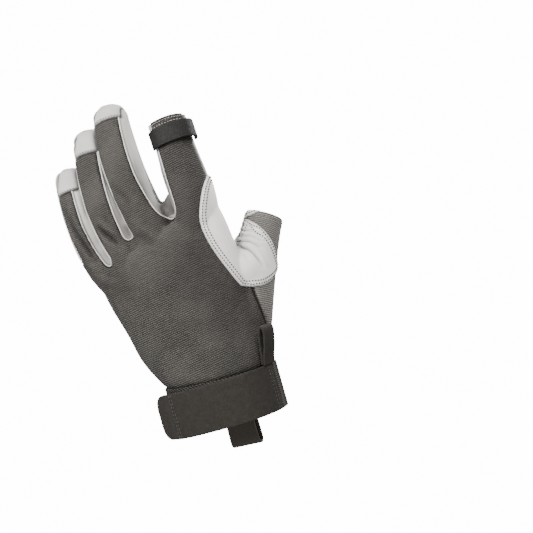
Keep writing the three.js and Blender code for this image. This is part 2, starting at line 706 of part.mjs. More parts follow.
// A strip round the back of the index finger that stands off on the thumb side.
function indexTabSolid() {
  const finger = FINGERS.index;
  const width = finger.width * FINGER_WIDTH;
  const length = finger.length * MIDDLE_LENGTH;
  const row = OPEN_ROWS.at(-1);
  const inside = [];
  const outside = [];
  for (const { turn, stand } of TAB_ROWS) {
    const off = GAP + TAB_SLACK + stand * TAB_STAND;
    for (const [side, extra] of [[inside, 0], [outside, TAB_THICKNESS]]) {
      const x = spread(Math.cos(rad(turn)), FINGER_POWER) * (row.wide * width + off + extra);
      const y = spread(Math.sin(rad(turn)), FINGER_POWER) * (row.deep * width + off + extra);
      side.push(new THREE.Vector2(x, y));
    }
  }
  const shape = new THREE.Shape([...inside, ...outside.reverse()]);
  const geometry = new THREE.ExtrudeGeometry(shape, { depth: TAB_HEIGHT, bevelEnabled: false });
  geometry.translate(0, 0, -TAB_HEIGHT / 2);
  const { middle, side, front, along } = frameAt(
    fingerLine(finger), 1 - (TAB_INSET + TAB_HEIGHT / 2) / length, FRONT,
  );
  geometry.applyMatrix4(new THREE.Matrix4().makeBasis(side, front, along).setPosition(middle));
  return solid(geometry);
}

const group = new THREE.Group();

function geometryOf(made) {
  const { numProp, vertProperties, triVerts } = made.getMesh();
  const geometry = new THREE.BufferGeometry();
  const count = vertProperties.length / numProp;
  const positions = new Float32Array(count * 3);
  for (let i = 0; i < count; i++) {
    positions.set(vertProperties.subarray(i * numProp, i * numProp + 3), i * 3);
  }
  geometry.setAttribute("position", new THREE.BufferAttribute(positions, 3));
  geometry.setIndex(new THREE.BufferAttribute(triVerts, 1));
  return geometry;
}

function place(name, made, colour, roughness) {
  const whole = largest(solid(geometryOf(made), WELD));
  const geometry = geometryOf(whole);
  geometry.computeVertexNormals();
  const material = new THREE.MeshStandardMaterial({ color: colour, roughness, metalness: 0 });
  const mesh = new THREE.Mesh(geometry, material);
  mesh.name = name;
  group.add(mesh);
}

const LEATHER_GREY = 0xd2d0cc;
const KNIT_GREY = 0x605d59;
const DARK = 0x35332f;

place("back_panel", backPanel, KNIT_GREY, 0.9);
place("palm_panel", palmPanel, LEATHER_GREY, 0.6);
for (const [name, made] of Object.entries(sidePieces)) place(name, made, LEATHER_GREY, 0.6);
place("thumb_back", thumbBack, KNIT_GREY, 0.9);
place("saddle_patch", patch, LEATHER_GREY, 0.6);
place("cuff", cuff, DARK, 0.85);
place("closure_strap", strapSolid(), DARK, 0.8);
place("clip_loop", clipLoopSolid(), DARK, 0.8);
place("pull_tab", pullTabSolid(), DARK, 0.8);
place("index_tab", indexTabSolid(), DARK, 0.5);

export default group;
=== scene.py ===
# %% [markdown]
# # A climbing glove
# This notebook dresses a left hand climbing glove: grey knit on the back, pale leather on the palm,
# and a near-black cuff with a closure strap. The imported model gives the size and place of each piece.
# Blender makes what a solid can't show: rolled seams, wrinkles, stitches, knit, suede and webbing.

import json
import math

import bmesh
import bpy
import numpy as np
from mathutils import Matrix, Vector, noise
from mathutils.bvhtree import BVHTree
from mathutils.kdtree import KDTree

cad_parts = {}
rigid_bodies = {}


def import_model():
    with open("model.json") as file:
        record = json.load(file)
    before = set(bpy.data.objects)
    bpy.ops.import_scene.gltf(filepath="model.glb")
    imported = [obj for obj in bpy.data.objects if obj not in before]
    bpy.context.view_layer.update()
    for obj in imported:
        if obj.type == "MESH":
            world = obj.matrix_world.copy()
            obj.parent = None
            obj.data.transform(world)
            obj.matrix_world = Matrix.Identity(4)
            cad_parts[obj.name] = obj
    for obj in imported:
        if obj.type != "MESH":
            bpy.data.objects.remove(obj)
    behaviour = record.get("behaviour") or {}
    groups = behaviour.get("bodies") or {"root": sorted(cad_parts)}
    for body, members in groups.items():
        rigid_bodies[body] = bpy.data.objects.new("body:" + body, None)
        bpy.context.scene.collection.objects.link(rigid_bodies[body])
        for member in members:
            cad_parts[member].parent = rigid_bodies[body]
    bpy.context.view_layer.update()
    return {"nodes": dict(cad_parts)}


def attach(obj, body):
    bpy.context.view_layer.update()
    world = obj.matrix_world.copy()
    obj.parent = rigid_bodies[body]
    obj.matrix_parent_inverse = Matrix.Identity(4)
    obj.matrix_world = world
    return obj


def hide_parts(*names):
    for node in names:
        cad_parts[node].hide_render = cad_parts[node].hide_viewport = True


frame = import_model()
print("pieces in the frame:", len(frame["nodes"]))

# %% [markdown]
# ## The camera
# The glove leans in the picture because it lies turned on the table, while in this frame it stands
# upright. So the camera itself is rolled. It looks at the back of the hand, turned a little to the
# thumb side, from far enough away to keep the fingers' proportions.

# %% Place the camera
MM = 0.001
FRONT = np.array([0.0, 1.0, 0.0])
UP = np.array([0.0, 0.0, 1.0])

VIEW_TURN = math.radians(20)
VIEW_ROLL = math.radians(25)
VIEW_DISTANCE = 962.5
VIEW_AIM = np.array([58.7, 21.4, 79.0])

view_right = np.array([math.cos(VIEW_TURN), math.sin(VIEW_TURN), 0])
view_back = np.array([math.sin(VIEW_TURN), -math.cos(VIEW_TURN), 0])
camera_right = math.cos(VIEW_ROLL) * view_right - math.sin(VIEW_ROLL) * UP
camera_up = math.sin(VIEW_ROLL) * view_right + math.cos(VIEW_ROLL) * UP
camera = bpy.data.objects.new("camera", bpy.data.cameras.new("camera"))
camera.data.lens = 100
camera.data.sensor_width = 36
turned = Matrix(np.column_stack([camera_right, camera_up, view_back]).tolist()).to_4x4()
camera.matrix_world = Matrix.Translation((VIEW_AIM + VIEW_DISTANCE * view_back) * MM) @ turned
bpy.context.scene.collection.objects.link(camera)
bpy.context.scene.camera = camera
print("camera at", [round(x, 3) for x in camera.matrix_world.translation])

# %% [markdown]
# ## The studio
# The glove hangs in the middle of a white dome, so that no horizon shows. The dome glows for the camera
# only, because its light would flatten the folds. The light comes from an even white world and four
# area lights: a key from the upper left, a fill from the right, a weak one from below for the clip loop,
# and one on the palm side.

# %% Stage the studio
DOME_REACH = 2.4
DOME_GLOW = 14.0
WORLD_GLOW = 0.75
LIT_POINT = Vector((0.01, 0.01, 0.1))
LIGHTS = {
    "key": ((-0.1, -0.34, 0.5), 0.3, 9.5),
    "fill": ((0.5, -0.42, 0.42), 0.4, 8.5),
    "low_fill": ((0.05, -0.55, -0.3), 0.3, 1.6),
    "palm_key": ((0.5, 0.55, 0.4), 0.5, 13),
}


def link(name, bm, *materials):
    """Turns a bmesh into an object with smooth faces, at the origin."""
    mesh = bpy.data.meshes.new(name)
    bm.to_mesh(mesh)
    bm.free()
    mesh.shade_smooth()
    obj = bpy.data.objects.new(name, mesh)
    bpy.context.scene.collection.objects.link(obj)
    for material in materials:
        mesh.materials.append(material)
    return obj


def light(name, place, size, power):
    """An area light that faces the glove."""
    lamp = bpy.data.lights.new(name, "AREA")
    lamp.size = size
    lamp.energy = power
    obj = bpy.data.objects.new(name, lamp)
    obj.location = place
    obj.rotation_euler = (LIT_POINT - Vector(place)).to_track_quat("-Z", "Y").to_euler()
    bpy.context.scene.collection.objects.link(obj)


dome = bmesh.new()
bmesh.ops.create_icosphere(dome, subdivisions=5, radius=DOME_REACH)
bmesh.ops.reverse_faces(dome, faces=dome.faces)
white = bpy.data.materials.new("studio_white")
white.use_nodes = True
white_inputs = white.node_tree.nodes["Principled BSDF"].inputs
white_inputs["Base Color"].default_value = (0.9, 0.9, 0.9, 1)
white_inputs["Roughness"].default_value = 0.9
white_inputs["Emission Color"].default_value = (1, 1, 1, 1)
white_inputs["Emission Strength"].default_value = DOME_GLOW
backdrop = link("backdrop", dome, white)
backdrop.visible_diffuse = False
backdrop.visible_glossy = False
backdrop.visible_shadow = False

world = bpy.data.worlds.new("studio")
world.use_nodes = True
world.node_tree.nodes["Background"].inputs["Color"].default_value = (1, 1, 1, 1)
world.node_tree.nodes["Background"].inputs["Strength"].default_value = WORLD_GLOW
bpy.context.scene.world = world
for name, (place, size, power) in LIGHTS.items():
    light(name, place, size, power)
print("stage and lights are set")

# %% [markdown]
# ## Shader maths
# A wrapped socket lets a material be written as an expression: adding or multiplying two of them
# adds the Math node that does it. One method makes every other node.


# %% Wrap a socket
class Value:
    """A socket of a material that can be used in sums."""

    def __init__(self, tree, socket=None):
        self.tree = tree
        self.socket = socket

    def node(self, kind, settings=None, inputs=None, output=0):
        """Adds a node: its settings come first, then the values or links of its sockets."""
        made = self.tree.nodes.new(kind)
        for name, setting in (settings or {}).items():
            setattr(made, name, setting)
        for name, given in (inputs or {}).items():
            if isinstance(given, Value):
                self.tree.links.new(given.socket, made.inputs[name])
            else:
                made.inputs[name].default_value = given
        return Value(self.tree, made.outputs[output])

    def maths(self, operation, *others):
        inputs = dict(enumerate([self, *others]))
        return self.node("ShaderNodeMath", {"operation": operation}, inputs)

    def __add__(self, other):
        return self.maths("ADD", other)

    __radd__ = __add__

    def __mul__(self, other):
        return self.maths("MULTIPLY", other)

    __rmul__ = __mul__

    def __sub__(self, other):
        return self.maths("SUBTRACT", other)

    def __rsub__(self, other):
        return self.maths("MULTIPLY_ADD", -1.0, other)

    def __truediv__(self, other):
        return self.maths("DIVIDE", other)

    def wave(self, period):
        """Goes from 0 to 1 and back once in each period."""
        return (self * (2 * math.pi / period)).maths("SINE") * 0.5 + 0.5

    def between(self, low, high):
        """0 below low, 1 above high, and smooth between."""
        return self.node(
            "ShaderNodeMapRange",
            {"interpolation_type": "SMOOTHSTEP"},
            {"Value": self, "From Min": low, "From Max": high},
        )


def colour(code):
    """A colour written as on a colour card, in the linear numbers that a shader takes."""
    shares = [int(code[i : i + 2], 16) / 255 for i in (0, 2, 4)]
    return [s / 12.92 if s <= 0.04045 else ((s + 0.055) / 1.055) ** 2.4 for s in shares] + [1]


def mixed(factor, low, high):
    """A colour between two, by a factor."""
    return factor.node(
        "ShaderNodeMix", {"data_type": "RGBA"}, {0: factor, 6: low, 7: high}, output=2
    )


def parts(value):
    """The three numbers of a vector."""
    return [value.node("ShaderNodeSeparateXYZ", None, {0: value}, output=i) for i in range(3)]


def finish_material(base, roughness, height, depth, sheen=0.0, shine=0.2):
    """A cloth or leather: base colour, roughness and a bump of some depth in metres."""
    inputs = base.tree.nodes["Principled BSDF"].inputs
    links = base.tree.links
    links.new(base.socket, inputs["Base Color"])
    if isinstance(roughness, Value):
        links.new(roughness.socket, inputs["Roughness"])
    else:
        inputs["Roughness"].default_value = roughness
    bump = base.node("ShaderNodeBump", None, {"Strength": 1.0, "Distance": depth, "Height": height})
    links.new(bump.socket, inputs["Normal"])
    inputs["Specular IOR Level"].default_value = shine
    inputs["Sheen Weight"].default_value = sheen
    inputs["Sheen Roughness"].default_value = 0.4


def new_material(name):
    """A new material, and its first value to write sums with."""
    material = bpy.data.materials.new(name)
    material.use_nodes = True
    return material, Value(material.node_tree)


print("shader maths ready")

# %% [markdown]
# ## Leather
# The palm is a thin synthetic suede: pale grey, matt, with a very fine grain and soft clouds of tone.
# Near a seam it is painted darker, as painted shade, because the edge rolls in there. Each panel
# carries all its painted shade as an attribute. The leather between the fingers is a darker copy of
# the palm's, painted shade since it lies in the shade between the fingers, and the patch over the
# thumb's web a shade lighter.


# %% Make the leather
# The colour that the leather's painted shade darkens towards.
PAINTED_SHADE_TONE = "262422"


def leather(name, tone="a3a19e", low="969491"):
    material, value = new_material(name)
    place = value.node("ShaderNodeTexCoord", output=3)
    clouds = value.node("ShaderNodeTexNoise", None, {"Vector": place, "Scale": 60.0, "Detail": 4.0})
    grain = value.node("ShaderNodeTexNoise", None, {"Vector": place, "Scale": 1800.0, "Detail": 3.0})
    painted_shade = value.node("ShaderNodeAttribute", {"attribute_name": "painted_shade"}, output=2)
    base = mixed(clouds.between(0.3, 0.7), colour(low), colour(tone))
    # Painted shade from the point attribute darkens the leather.
    base = mixed(painted_shade, base, colour(PAINTED_SHADE_TONE))
    finish_material(base, 0.62 - clouds * 0.1, grain, 0.00012, 0.15)
    return material


pale_leather = leather("pale_leather")
# The leather between the fingers is the same leather in a darker copy: painted shade.
shaded_side_leather = leather("shaded_side_leather", "8c8984", "7f7c77")
patch_leather = leather("patch_leather", "b8b6b2", "aeaca8")
print("made", pale_leather.name, shaded_side_leather.name, "and", patch_leather.name)

# %% [markdown]
# ## Knit
# The back is a stretch knit. Up close it shows short rows across the hand, each a chain of tiny loops,
# every row set off from the one below by half a loop. The pattern is drawn on the weave attribute,
# which gives each point its place across and up the cloth in millimetres.

# %% Make the knit
KNIT_ROW = 1.3
KNIT_LOOP = 1.7
THUMB_ROW = 1.2
THUMB_LOOP = 1.6
KNIT_CLOUD_TONE = "55524e"
# The colour that the knit's painted shade darkens towards.
KNIT_PAINTED_SHADE_TONE = "0e0d0d"


def knit(name, row, loop, tone="3b3936", dark="171614", depth=0.0003):
    material, value = new_material(name)
    weave = value.node("ShaderNodeAttribute", {"attribute_name": "weave"}, output=1)
    across, up, _ = parts(weave)
    wobble = value.node("ShaderNodeTexNoise", None, {"Vector": weave, "Scale": 0.9, "Detail": 2.0})
    up = up + (wobble - 0.5) * 0.5
    offset = (up / row).maths("FLOOR") * (loop / 2)
    rows = (up - row / 4).wave(row)
    loops = (across + offset).wave(loop)
    height = rows * (loops * 0.45 + 0.55)
    place = value.node("ShaderNodeTexCoord", output=3)
    clouds = value.node("ShaderNodeTexNoise", None, {"Vector": place, "Scale": 45.0, "Detail": 3.0})
    painted_shade = value.node("ShaderNodeAttribute", {"attribute_name": "painted_shade"}, output=2)
    base = mixed(height.between(0.1, 0.8), colour(dark), colour(tone))
    base = mixed(clouds.between(0.35, 0.65) * 0.12, base, colour(KNIT_CLOUD_TONE))
    # Painted shade from the point attribute darkens the knit.
    base = mixed(painted_shade, base, colour(KNIT_PAINTED_SHADE_TONE))
    finish_material(base, 0.85, height, depth, 0.03, 0.1)
    return material


back_knit = knit("back_knit", KNIT_ROW, KNIT_LOOP)
# The thumb's knit is a much lighter copy of the back's knit: painted light for the thumb, which the
# lamps light at a slant.
thumb_knit_painted_light = knit("thumb_knit_painted_light", THUMB_ROW, THUMB_LOOP, "666460", "363431", 0.0002)
print("made", back_knit.name, "and", thumb_knit_painted_light.name)

# %% [markdown]
# ## Webbing, suede and thread
# The strap is a near-black suede, the cuff an elastic twill with slanting ribs, and the loop a woven
# tape. They share one recipe: a base with a fine relief, drawn on the weave attribute. The threads
# follow it too. Each seam has a thread a little lighter or darker than its cloth, so that it shows.
# The dark grey of the patch and cap stitches is painted shade, for the shadow round light thread
# pulled into the leather, and the dark cord over each fingertip seam is painted shade as well.


# %% Make the dark cloths
def dark_cloth(name, tone, low, relief, depth, roughness, sheen=0.0, shine=0.04):
    """A cloth or thread whose relief is a function of the place across and along it."""
    material, value = new_material(name)
    weave = value.node("ShaderNodeAttribute", {"attribute_name": "weave"}, output=1)
    along, up, _ = parts(weave)
    height = relief(value, weave, along, up)
    base = mixed(height.between(0.1, 0.9), colour(low), colour(tone))
    finish_material(base, roughness, height, depth, sheen, shine)
    return material


def twill_relief(value, weave, along, up):
    return (along * 0.75 + up).wave(1.9) * 0.8 + (along - up).wave(0.9) * 0.2


def suede_relief(value, weave, along, up):
    soft = value.node("ShaderNodeTexNoise", None, {"Vector": weave, "Scale": 0.25, "Detail": 3.0})
    nap = value.node("ShaderNodeTexNoise", None, {"Vector": weave, "Scale": 4.0, "Detail": 3.0})
    return soft * 0.6 + nap * 0.4


def tape_relief(value, weave, along, up):
    return along.wave(1.0) * 0.5 + up.wave(1.2) * 0.5


def satin_relief(value, weave, along, up):
    return up.wave(0.8) * 0.7 + along.wave(0.6) * 0.3


cuff_twill = dark_cloth("cuff_twill", "33312f", "121110", twill_relief, 0.0004, 0.8)
strap_suede = dark_cloth("strap_suede", "292724", "1f1d1b", suede_relief, 0.0002, 0.85, 0.02)
# The loop's tape is painted lighter than the strap and cuff: painted light, where the strap and cuff
# shade it.
loop_tape_painted_light = dark_cloth("loop_tape_painted_light", "403c38", "35322e", tape_relief, 0.0002, 0.8)
tab_satin = dark_cloth("tab_satin", "131211", "0d0c0b", satin_relief, 0.0001, 0.6, 0.0, 0.1)
hem_thread = dark_cloth("hem_thread", "8f8c88", "6f6c68", suede_relief, 0.0001, 0.7)
strap_thread_finish = dark_cloth("strap_thread", "3f3b38", "33302d", suede_relief, 0.0001, 0.7)
# Painted shade: the patch and cap stitches are dark grey, for the shadow round light thread pulled into
# the leather.
grey_thread_painted_shade = dark_cloth("grey_thread_painted_shade", "3c3936", "2a2826", suede_relief, 0.0001, 0.7)
# Thread of the box stitches, and the painted shade of the dark cord over each fingertip seam.
dark_thread_and_painted_shade = dark_cloth("dark_thread_and_painted_shade", "44403c", "2b2926", suede_relief, 0.0001, 0.7)
print("made the dark cloths and the threads")

# %% [markdown]
# ## The form of the hand
# The tables below are the model's own: sections up the palm, the middle line and width of each finger,
# and the thumb. Each section is a superellipse, which is squarer than an ellipse, as a hand is. The
# webs of skin between two fingers, and between the hand and the thumb, are soft lumps.

# %% Sizes and sections
PALM_LENGTH = 130
PALM_WIDTH = 96
PALM_DEPTH = 33
WRIST_WIDTH = 74
WRIST_DEPTH = 51
MIDDLE_LENGTH = 90
FINGER_WIDTH = 26
THUMB_WIDTH = 25
THUMB_REACH = 66
THUMB_HEIGHT = 109
THUMB_FORWARD = 33
CUFF_HEIGHT = 29
CUFF_TILT = 10
ROOT_DRAW = 0.5
FRONT_SHARE = 0.41
PALM_POWER = 2.3
FINGER_POWER = 2.2
THUMB_POWER = 2.1
CURL_POWER = 1.7
FINGER_PAST = 1.08
CLOSED_END = 1.014
TIP_START = 0.9
TIP_REACH = 0.115


def table(columns, *rows):
    """A table as one array per named column."""
    return dict(zip(columns.split(), np.array(rows, float).T))


PALM = table(
    "up across forward wide deep tilt",
    (0.31, 0.047, 0.045, 0.427, 0.71, 0.8),
    (0.42, 0.036, 0.1, 0.464, 0.65, 0.5),
    (0.58, 0.033, 0.09, 0.472, 0.575, 0.2),
    (0.755, 0.038, 0.05, 0.497, 0.51, -0.3),
    (0.87, 0.042, 0.03, 0.51, 0.47, -0.7),
    (0.94, 0.047, 0.03, 0.5, 0.41, -0.9),
    (0.975, 0.05, 0.03, 0.47, 0.3, -1),
)
FINGERS = {
    "pinky": dict(
        across=-0.385, root=0.938, length=0.81, width=0.85, lean=-0.02, bow=-0.03, curl=0.22, cap=0.76,
        knit_left=(0.34, 0.4), knit_right=(0.28, 0.19)
    ),
    "ring": dict(
        across=-0.205, root=0.98, length=0.95, width=0.915, lean=0.05, bow=-0.03, curl=0.24, cap=0.79,
        knit_left=(0.25, 0.44), knit_right=(0.375, 0.36)
    ),
    "middle": dict(
        across=0.068, root=1.012, length=1, width=1, lean=-0.02, bow=-0.03, curl=0.25, cap=0.86,
        knit_left=(0.465, 0.46), knit_right=(0.45, 0.36)
    ),
    "index": dict(
        across=0.4, root=1.012, length=0.665, width=0.97, lean=0.09, bow=0.015, curl=0.13, cap=2,
        knit_left=(0.3, 0.33), knit_right=(1, 1)
    ),
}
CLOSED = table(
    "at wide deep",
    (-0.36, 0.4, 0.36),
    (-0.15, 0.48, 0.45),
    (0.05, 0.51, 0.48),
    (0.3, 0.5, 0.475),
    (0.55, 0.49, 0.465),
    (0.76, 0.475, 0.44),
    (0.89, 0.455, 0.4),
)
OPEN = table(
    "at wide deep",
    (-0.5, 0.4, 0.36),
    (-0.2, 0.5, 0.46),
    (0.1, 0.6, 0.5),
    (0.35, 0.57, 0.5),
    (0.7, 0.485, 0.48),
    (1, 0.485, 0.47),
)
CROTCHES = {
    "pinky_ring": ("pinky", "ring", -0.294, 0.94),
    "ring_middle": ("ring", "middle", -0.085, 1.02),
    "middle_index": ("middle", "index", 0.255, 1.018),
}
WEBS = table(
    "across forward up wide deep high",
    (0.5, 0.42, 0.63, 0.13, 0.45, 0.125),
    (-0.294, 0.03, 0.84, 0.075, 0.26, 0.13),
    (-0.085, 0.03, 0.92, 0.075, 0.26, 0.13),
    (0.255, 0.2, 0.97, 0.115, 0.28, 0.18),
)
THUMB = table(
    "across up forward wide deep turn",
    (0.36, 0.27, 0.15, 0.5, 0.5, 42),
    (0.52, 0.47, 0.3, 0.74, 0.66, 30),
    (0.69, 0.66, 0.5, 0.68, 0.6, 10),
    (0.86, 0.84, 0.7, 0.56, 0.54, -22),
    (1.02, 1, 1, 0.49, 0.49, -38),
)
print("fingers:", ", ".join(FINGERS))

# %% [markdown]
# ## Lofting
# A grid is laid over rings of points, closed round and capped at its ends. Each limb of the glove is one
# such tube, with far more rings than the table has rows, smoothed so that no row shows.


# %% Lay grids over rings
def unit(vectors):
    """The same directions, one long."""
    return vectors / np.linalg.norm(vectors, axis=-1, keepdims=True)


def spread(share, power):
    """A cosine or sine of a circle, changed to that of a superellipse."""
    return np.sign(share) * np.abs(share) ** (2 / power)


def lengths_along(path):
    """How far along a path each of its points lies."""
    return np.concatenate([[0], np.cumsum(np.linalg.norm(np.diff(path, axis=0), axis=1))])


def smoothed(values, rounds):
    """Rows of numbers evened out, with the first and last kept."""
    values = np.array(values, float)
    for _ in range(rounds):
        values[1:-1] = values[1:-1] / 2 + (values[:-2] + values[2:]) / 4
    return values


def frames(line, at, facing):
    """Middle, side, front and along directions of a middle line."""
    middle = line(at)
    along = unit(line(at + 0.01) - line(at - 0.01))
    facing = np.broadcast_to(facing, along.shape)
    front = unit(facing - along * (along * facing).sum(-1, keepdims=True))
    return middle, np.cross(front, along), front, along


def rings(middle, side, front, wide, deep, power, sides):
    """Points of superellipse rings, with the first point of each repeated at its end."""
    turn = np.linspace(0, 2 * math.pi, sides + 1)
    across = wide[:, None] * spread(np.cos(turn), power)
    forward = deep[:, None] * spread(np.sin(turn), power)
    return middle[:, None] + side[:, None] * across[..., None] + front[:, None] * forward[..., None]


def laid(points, closed=True, capped=True):
    """A grid laid over rows of points in millimetres."""
    rows, columns = points.shape[:2]
    bm = bmesh.new()
    bmesh.ops.create_grid(bm, x_segments=columns - 1, y_segments=rows - 1, size=1)
    for vert in bm.verts:
        i = round((vert.co.x + 1) / 2 * (columns - 1))
        j = round((vert.co.y + 1) / 2 * (rows - 1))
        vert.co = points[j, i] * MM
    if closed:
        bmesh.ops.remove_doubles(bm, verts=bm.verts, dist=1e-6)
    if capped:
        bmesh.ops.holes_fill(bm, edges=[e for e in bm.edges if e.is_boundary], sides=0)
    bmesh.ops.recalc_face_normals(bm, faces=bm.faces)
    return bm


print("grid tools ready")

# %% [markdown]
# ## Fingers, thumb and palm
# A finger's middle line leans, bows and curls towards the palm. The thumb follows a curve through five
# points, and the palm's sections tilt from the wrist's slant to the knuckles' slant. The index finger
# and the thumb run on past their open ends, which are cut off square later.


# %% Build the limbs
def finger_line(finger):
    """The finger's middle line, as a function of the share of its length."""
    length = finger["length"] * MIDDLE_LENGTH

    def line(at):
        above = np.maximum(at, 0)
        drawn = finger["across"] * PALM_WIDTH * (1 + ROOT_DRAW * np.minimum(at, 0))
        x = drawn + length * (finger["lean"] * at + 4 * finger["bow"] * above * (1 - at))
        y = length * finger["curl"] * above**CURL_POWER
        z = finger["root"] * PALM_LENGTH + length * at * (1 - 0.5 * finger["curl"] ** 2)
        return np.stack([x, y, z], -1)

    return line


def finger_tube(name):
    """A finger as a tube. A closed one is rounded off, and an open one runs on past its end."""
    finger = FINGERS[name]
    is_open = finger["cap"] > 1
    rows = OPEN if is_open else CLOSED
    at = np.linspace(rows["at"][0], FINGER_PAST if is_open else CLOSED_END, 70)
    past = np.maximum(at - TIP_START, 0) / TIP_REACH
    tip = 1 if is_open else np.sqrt(np.maximum(1 - past**FINGER_POWER, 0.003))
    width = finger["width"] * FINGER_WIDTH
    wide = smoothed(np.interp(at, rows["at"], rows["wide"]), 12) * tip * width
    deep = smoothed(np.interp(at, rows["at"], rows["deep"]), 12) * tip * width
    middle, side, front, _ = frames(finger_line(finger), at, FRONT)
    return laid(rings(middle, side, front, wide, deep, FINGER_POWER, 40))


thumb_points = np.stack(
    [THUMB["across"] * THUMB_REACH, THUMB["forward"] * THUMB_FORWARD, THUMB["up"] * THUMB_HEIGHT], -1
)


def thumb_line(at):
    """A point of the thumb's middle line: a curve through its five points."""
    at = np.asarray(at, float)
    knots = np.vstack([2 * thumb_points[0] - thumb_points[1], thumb_points])
    knots = np.vstack([knots, 2 * thumb_points[-1] - thumb_points[-2]])
    place = at * (len(thumb_points) - 1)
    low = np.clip(np.floor(place), 0, len(thumb_points) - 2).astype(int)
    part = (place - low)[..., None]
    before, start, end, after = (knots[low + i] for i in range(4))
    return start + part / 2 * (
        end
        - before
        + part * (2 * before - 5 * start + 4 * end - after + part * (3 * (start - end) + after - before))
    )


def thumb_frames(at):
    """The thumb's own directions, which turn along it so that its front faces away from the knit."""
    share = np.linspace(0, 1, len(THUMB["turn"]))
    turn = np.radians(np.interp(at, share, THUMB["turn"]))
    knit_side = np.stack([np.cos(turn), np.sin(turn), 0 * turn], -1)
    return frames(thumb_line, at, -knit_side)


def thumb_tube():
    at = np.linspace(0, FINGER_PAST, 60)
    share = np.linspace(0, 1, len(THUMB["wide"]))
    middle, side, front, _ = thumb_frames(at)
    wide = smoothed(np.interp(at, share, THUMB["wide"]), 20) * THUMB_WIDTH
    deep = smoothed(np.interp(at, share, THUMB["deep"]), 20) * THUMB_WIDTH
    return laid(rings(middle, side, front, wide, deep, THUMB_POWER, 48))


def wrist_point(across, forward, height):
    """A place in the wrist's own slanting frame: across, forward and up the cuff."""
    slant = math.radians(CUFF_TILT)
    side = np.array([math.cos(slant), 0, -math.sin(slant)])
    along = np.array([math.sin(slant), 0, math.cos(slant)])
    across, forward, height = (np.asarray(v, float)[..., None] for v in (across, forward, height))
    return across * side + forward * FRONT + height * along


def palm_tube():
    """The palm as a tube, which starts inside the cuff at the wrist's slant."""
    turned = np.radians(PALM["tilt"] * CUFF_TILT)
    middle = np.stack(
        [PALM["across"] * PALM_WIDTH, PALM["forward"] * PALM_DEPTH, PALM["up"] * PALM_LENGTH], -1
    )
    wide = PALM["wide"] * PALM_WIDTH
    deep = PALM["deep"] * PALM_DEPTH
    for height, inset in ((30.5, 0.3), (28.5, 2.6), (26, 3)):
        middle = np.vstack([wrist_point(0, 0, height), middle])
        wide = np.append(WRIST_WIDTH / 2 - inset, wide)
        deep = np.append(WRIST_DEPTH / 2 - inset, deep)
        turned = np.append(math.radians(CUFF_TILT), turned)
    at = np.linspace(0, len(wide) - 1, 80)
    row = np.arange(len(wide))

    def even(values):
        return smoothed(np.interp(at, row, values), 10)

    middle = np.stack([even(column) for column in middle.T], -1)
    slant = even(turned)
    side = np.stack([np.cos(slant), 0 * slant, -np.sin(slant)], -1)
    front = np.broadcast_to(FRONT, side.shape)
    return laid(rings(middle, side, front, even(wide), even(deep), PALM_POWER, 96))


def lump(across, forward, up, wide, deep, high):
    """A soft ball that fills a web of skin between two limbs."""
    bm = bmesh.new()
    scale = Matrix.Diagonal((wide * MM, deep * MM, high * MM, 1))
    place = Matrix.Translation(Vector((across, forward, up)) * MM)
    bmesh.ops.create_icosphere(bm, subdivisions=4, radius=1, matrix=place @ scale)
    return bm


limbs = [finger_tube(name) for name in FINGERS] + [thumb_tube(), palm_tube()]
for across, forward, up, wide, deep, high in zip(*WEBS.values()):
    sizes = np.array([across, forward, up, wide, deep, high])
    limbs.append(lump(*(sizes * np.tile([PALM_WIDTH, PALM_DEPTH, PALM_LENGTH], 2))))
print("limbs:", len(limbs))

# %% [markdown]
# ## One skin
# The limbs overlap, so a voxel remesh melts them into one closed skin of small even squares. Smoothing
# takes off the steps and softens the webs between the fingers. Then the wrist, the index finger and
# the thumb are cut open with planes.

# %% Melt the limbs into one skin
VOXEL = 0.8
SKIN_ROUNDS = 9
SKIN_FOOT = 27.5
INDEX_CUT = 0.022
THUMB_CUT = 0.021
WRIST_CUT = 0.06

whole = bmesh.new()
for limb in limbs:
    piece = bpy.data.meshes.new("limb")
    limb.to_mesh(piece)
    limb.free()
    whole.from_mesh(piece)
skin_object = link("skin", whole)
remesh = skin_object.modifiers.new("melt", "REMESH")
remesh.mode = "VOXEL"
remesh.voxel_size = VOXEL * MM
melted = bpy.data.meshes.new_from_object(
    skin_object.evaluated_get(bpy.context.evaluated_depsgraph_get())
)
bpy.data.objects.remove(skin_object)


def cut_open(bm, middle, along, reach):
    """Cuts off what lies past a plane, within a distance of its middle."""
    near = [f for f in bm.faces if (f.calc_center_median() - middle).length < reach]
    geom = near + list({e for f in near for e in f.edges} | {v for f in near for v in f.verts})
    bmesh.ops.bisect_plane(bm, geom=geom, dist=1e-7, plane_co=middle, plane_no=along, clear_outer=True)


skin = bmesh.new()
skin.from_mesh(melted)
for _ in range(SKIN_ROUNDS):
    bmesh.ops.smooth_vert(
        skin, verts=skin.verts, factor=0.5, use_axis_x=True, use_axis_y=True, use_axis_z=True
    )
index_end = frames(finger_line(FINGERS["index"]), np.array([1.0]), FRONT)
thumb_end = thumb_frames(np.array([1.0]))
wrist_axis = wrist_point(0, 0, 1)
cut_open(skin, Vector(index_end[0][0] * MM), Vector(index_end[3][0]), INDEX_CUT)
cut_open(skin, Vector(thumb_end[0][0] * MM), Vector(thumb_end[3][0]), THUMB_CUT)
cut_open(skin, Vector(wrist_point(0, 0, SKIN_FOOT) * MM), Vector(-wrist_axis), WRIST_CUT)
bmesh.ops.triangulate(skin, faces=[f for f in skin.faces if len(f.verts) > 4])
skin.verts.ensure_lookup_table()
skin.verts.index_update()
skin.faces.ensure_lookup_table()
print("skin:", len(skin.verts), "vertices,", len(skin.faces), "faces")

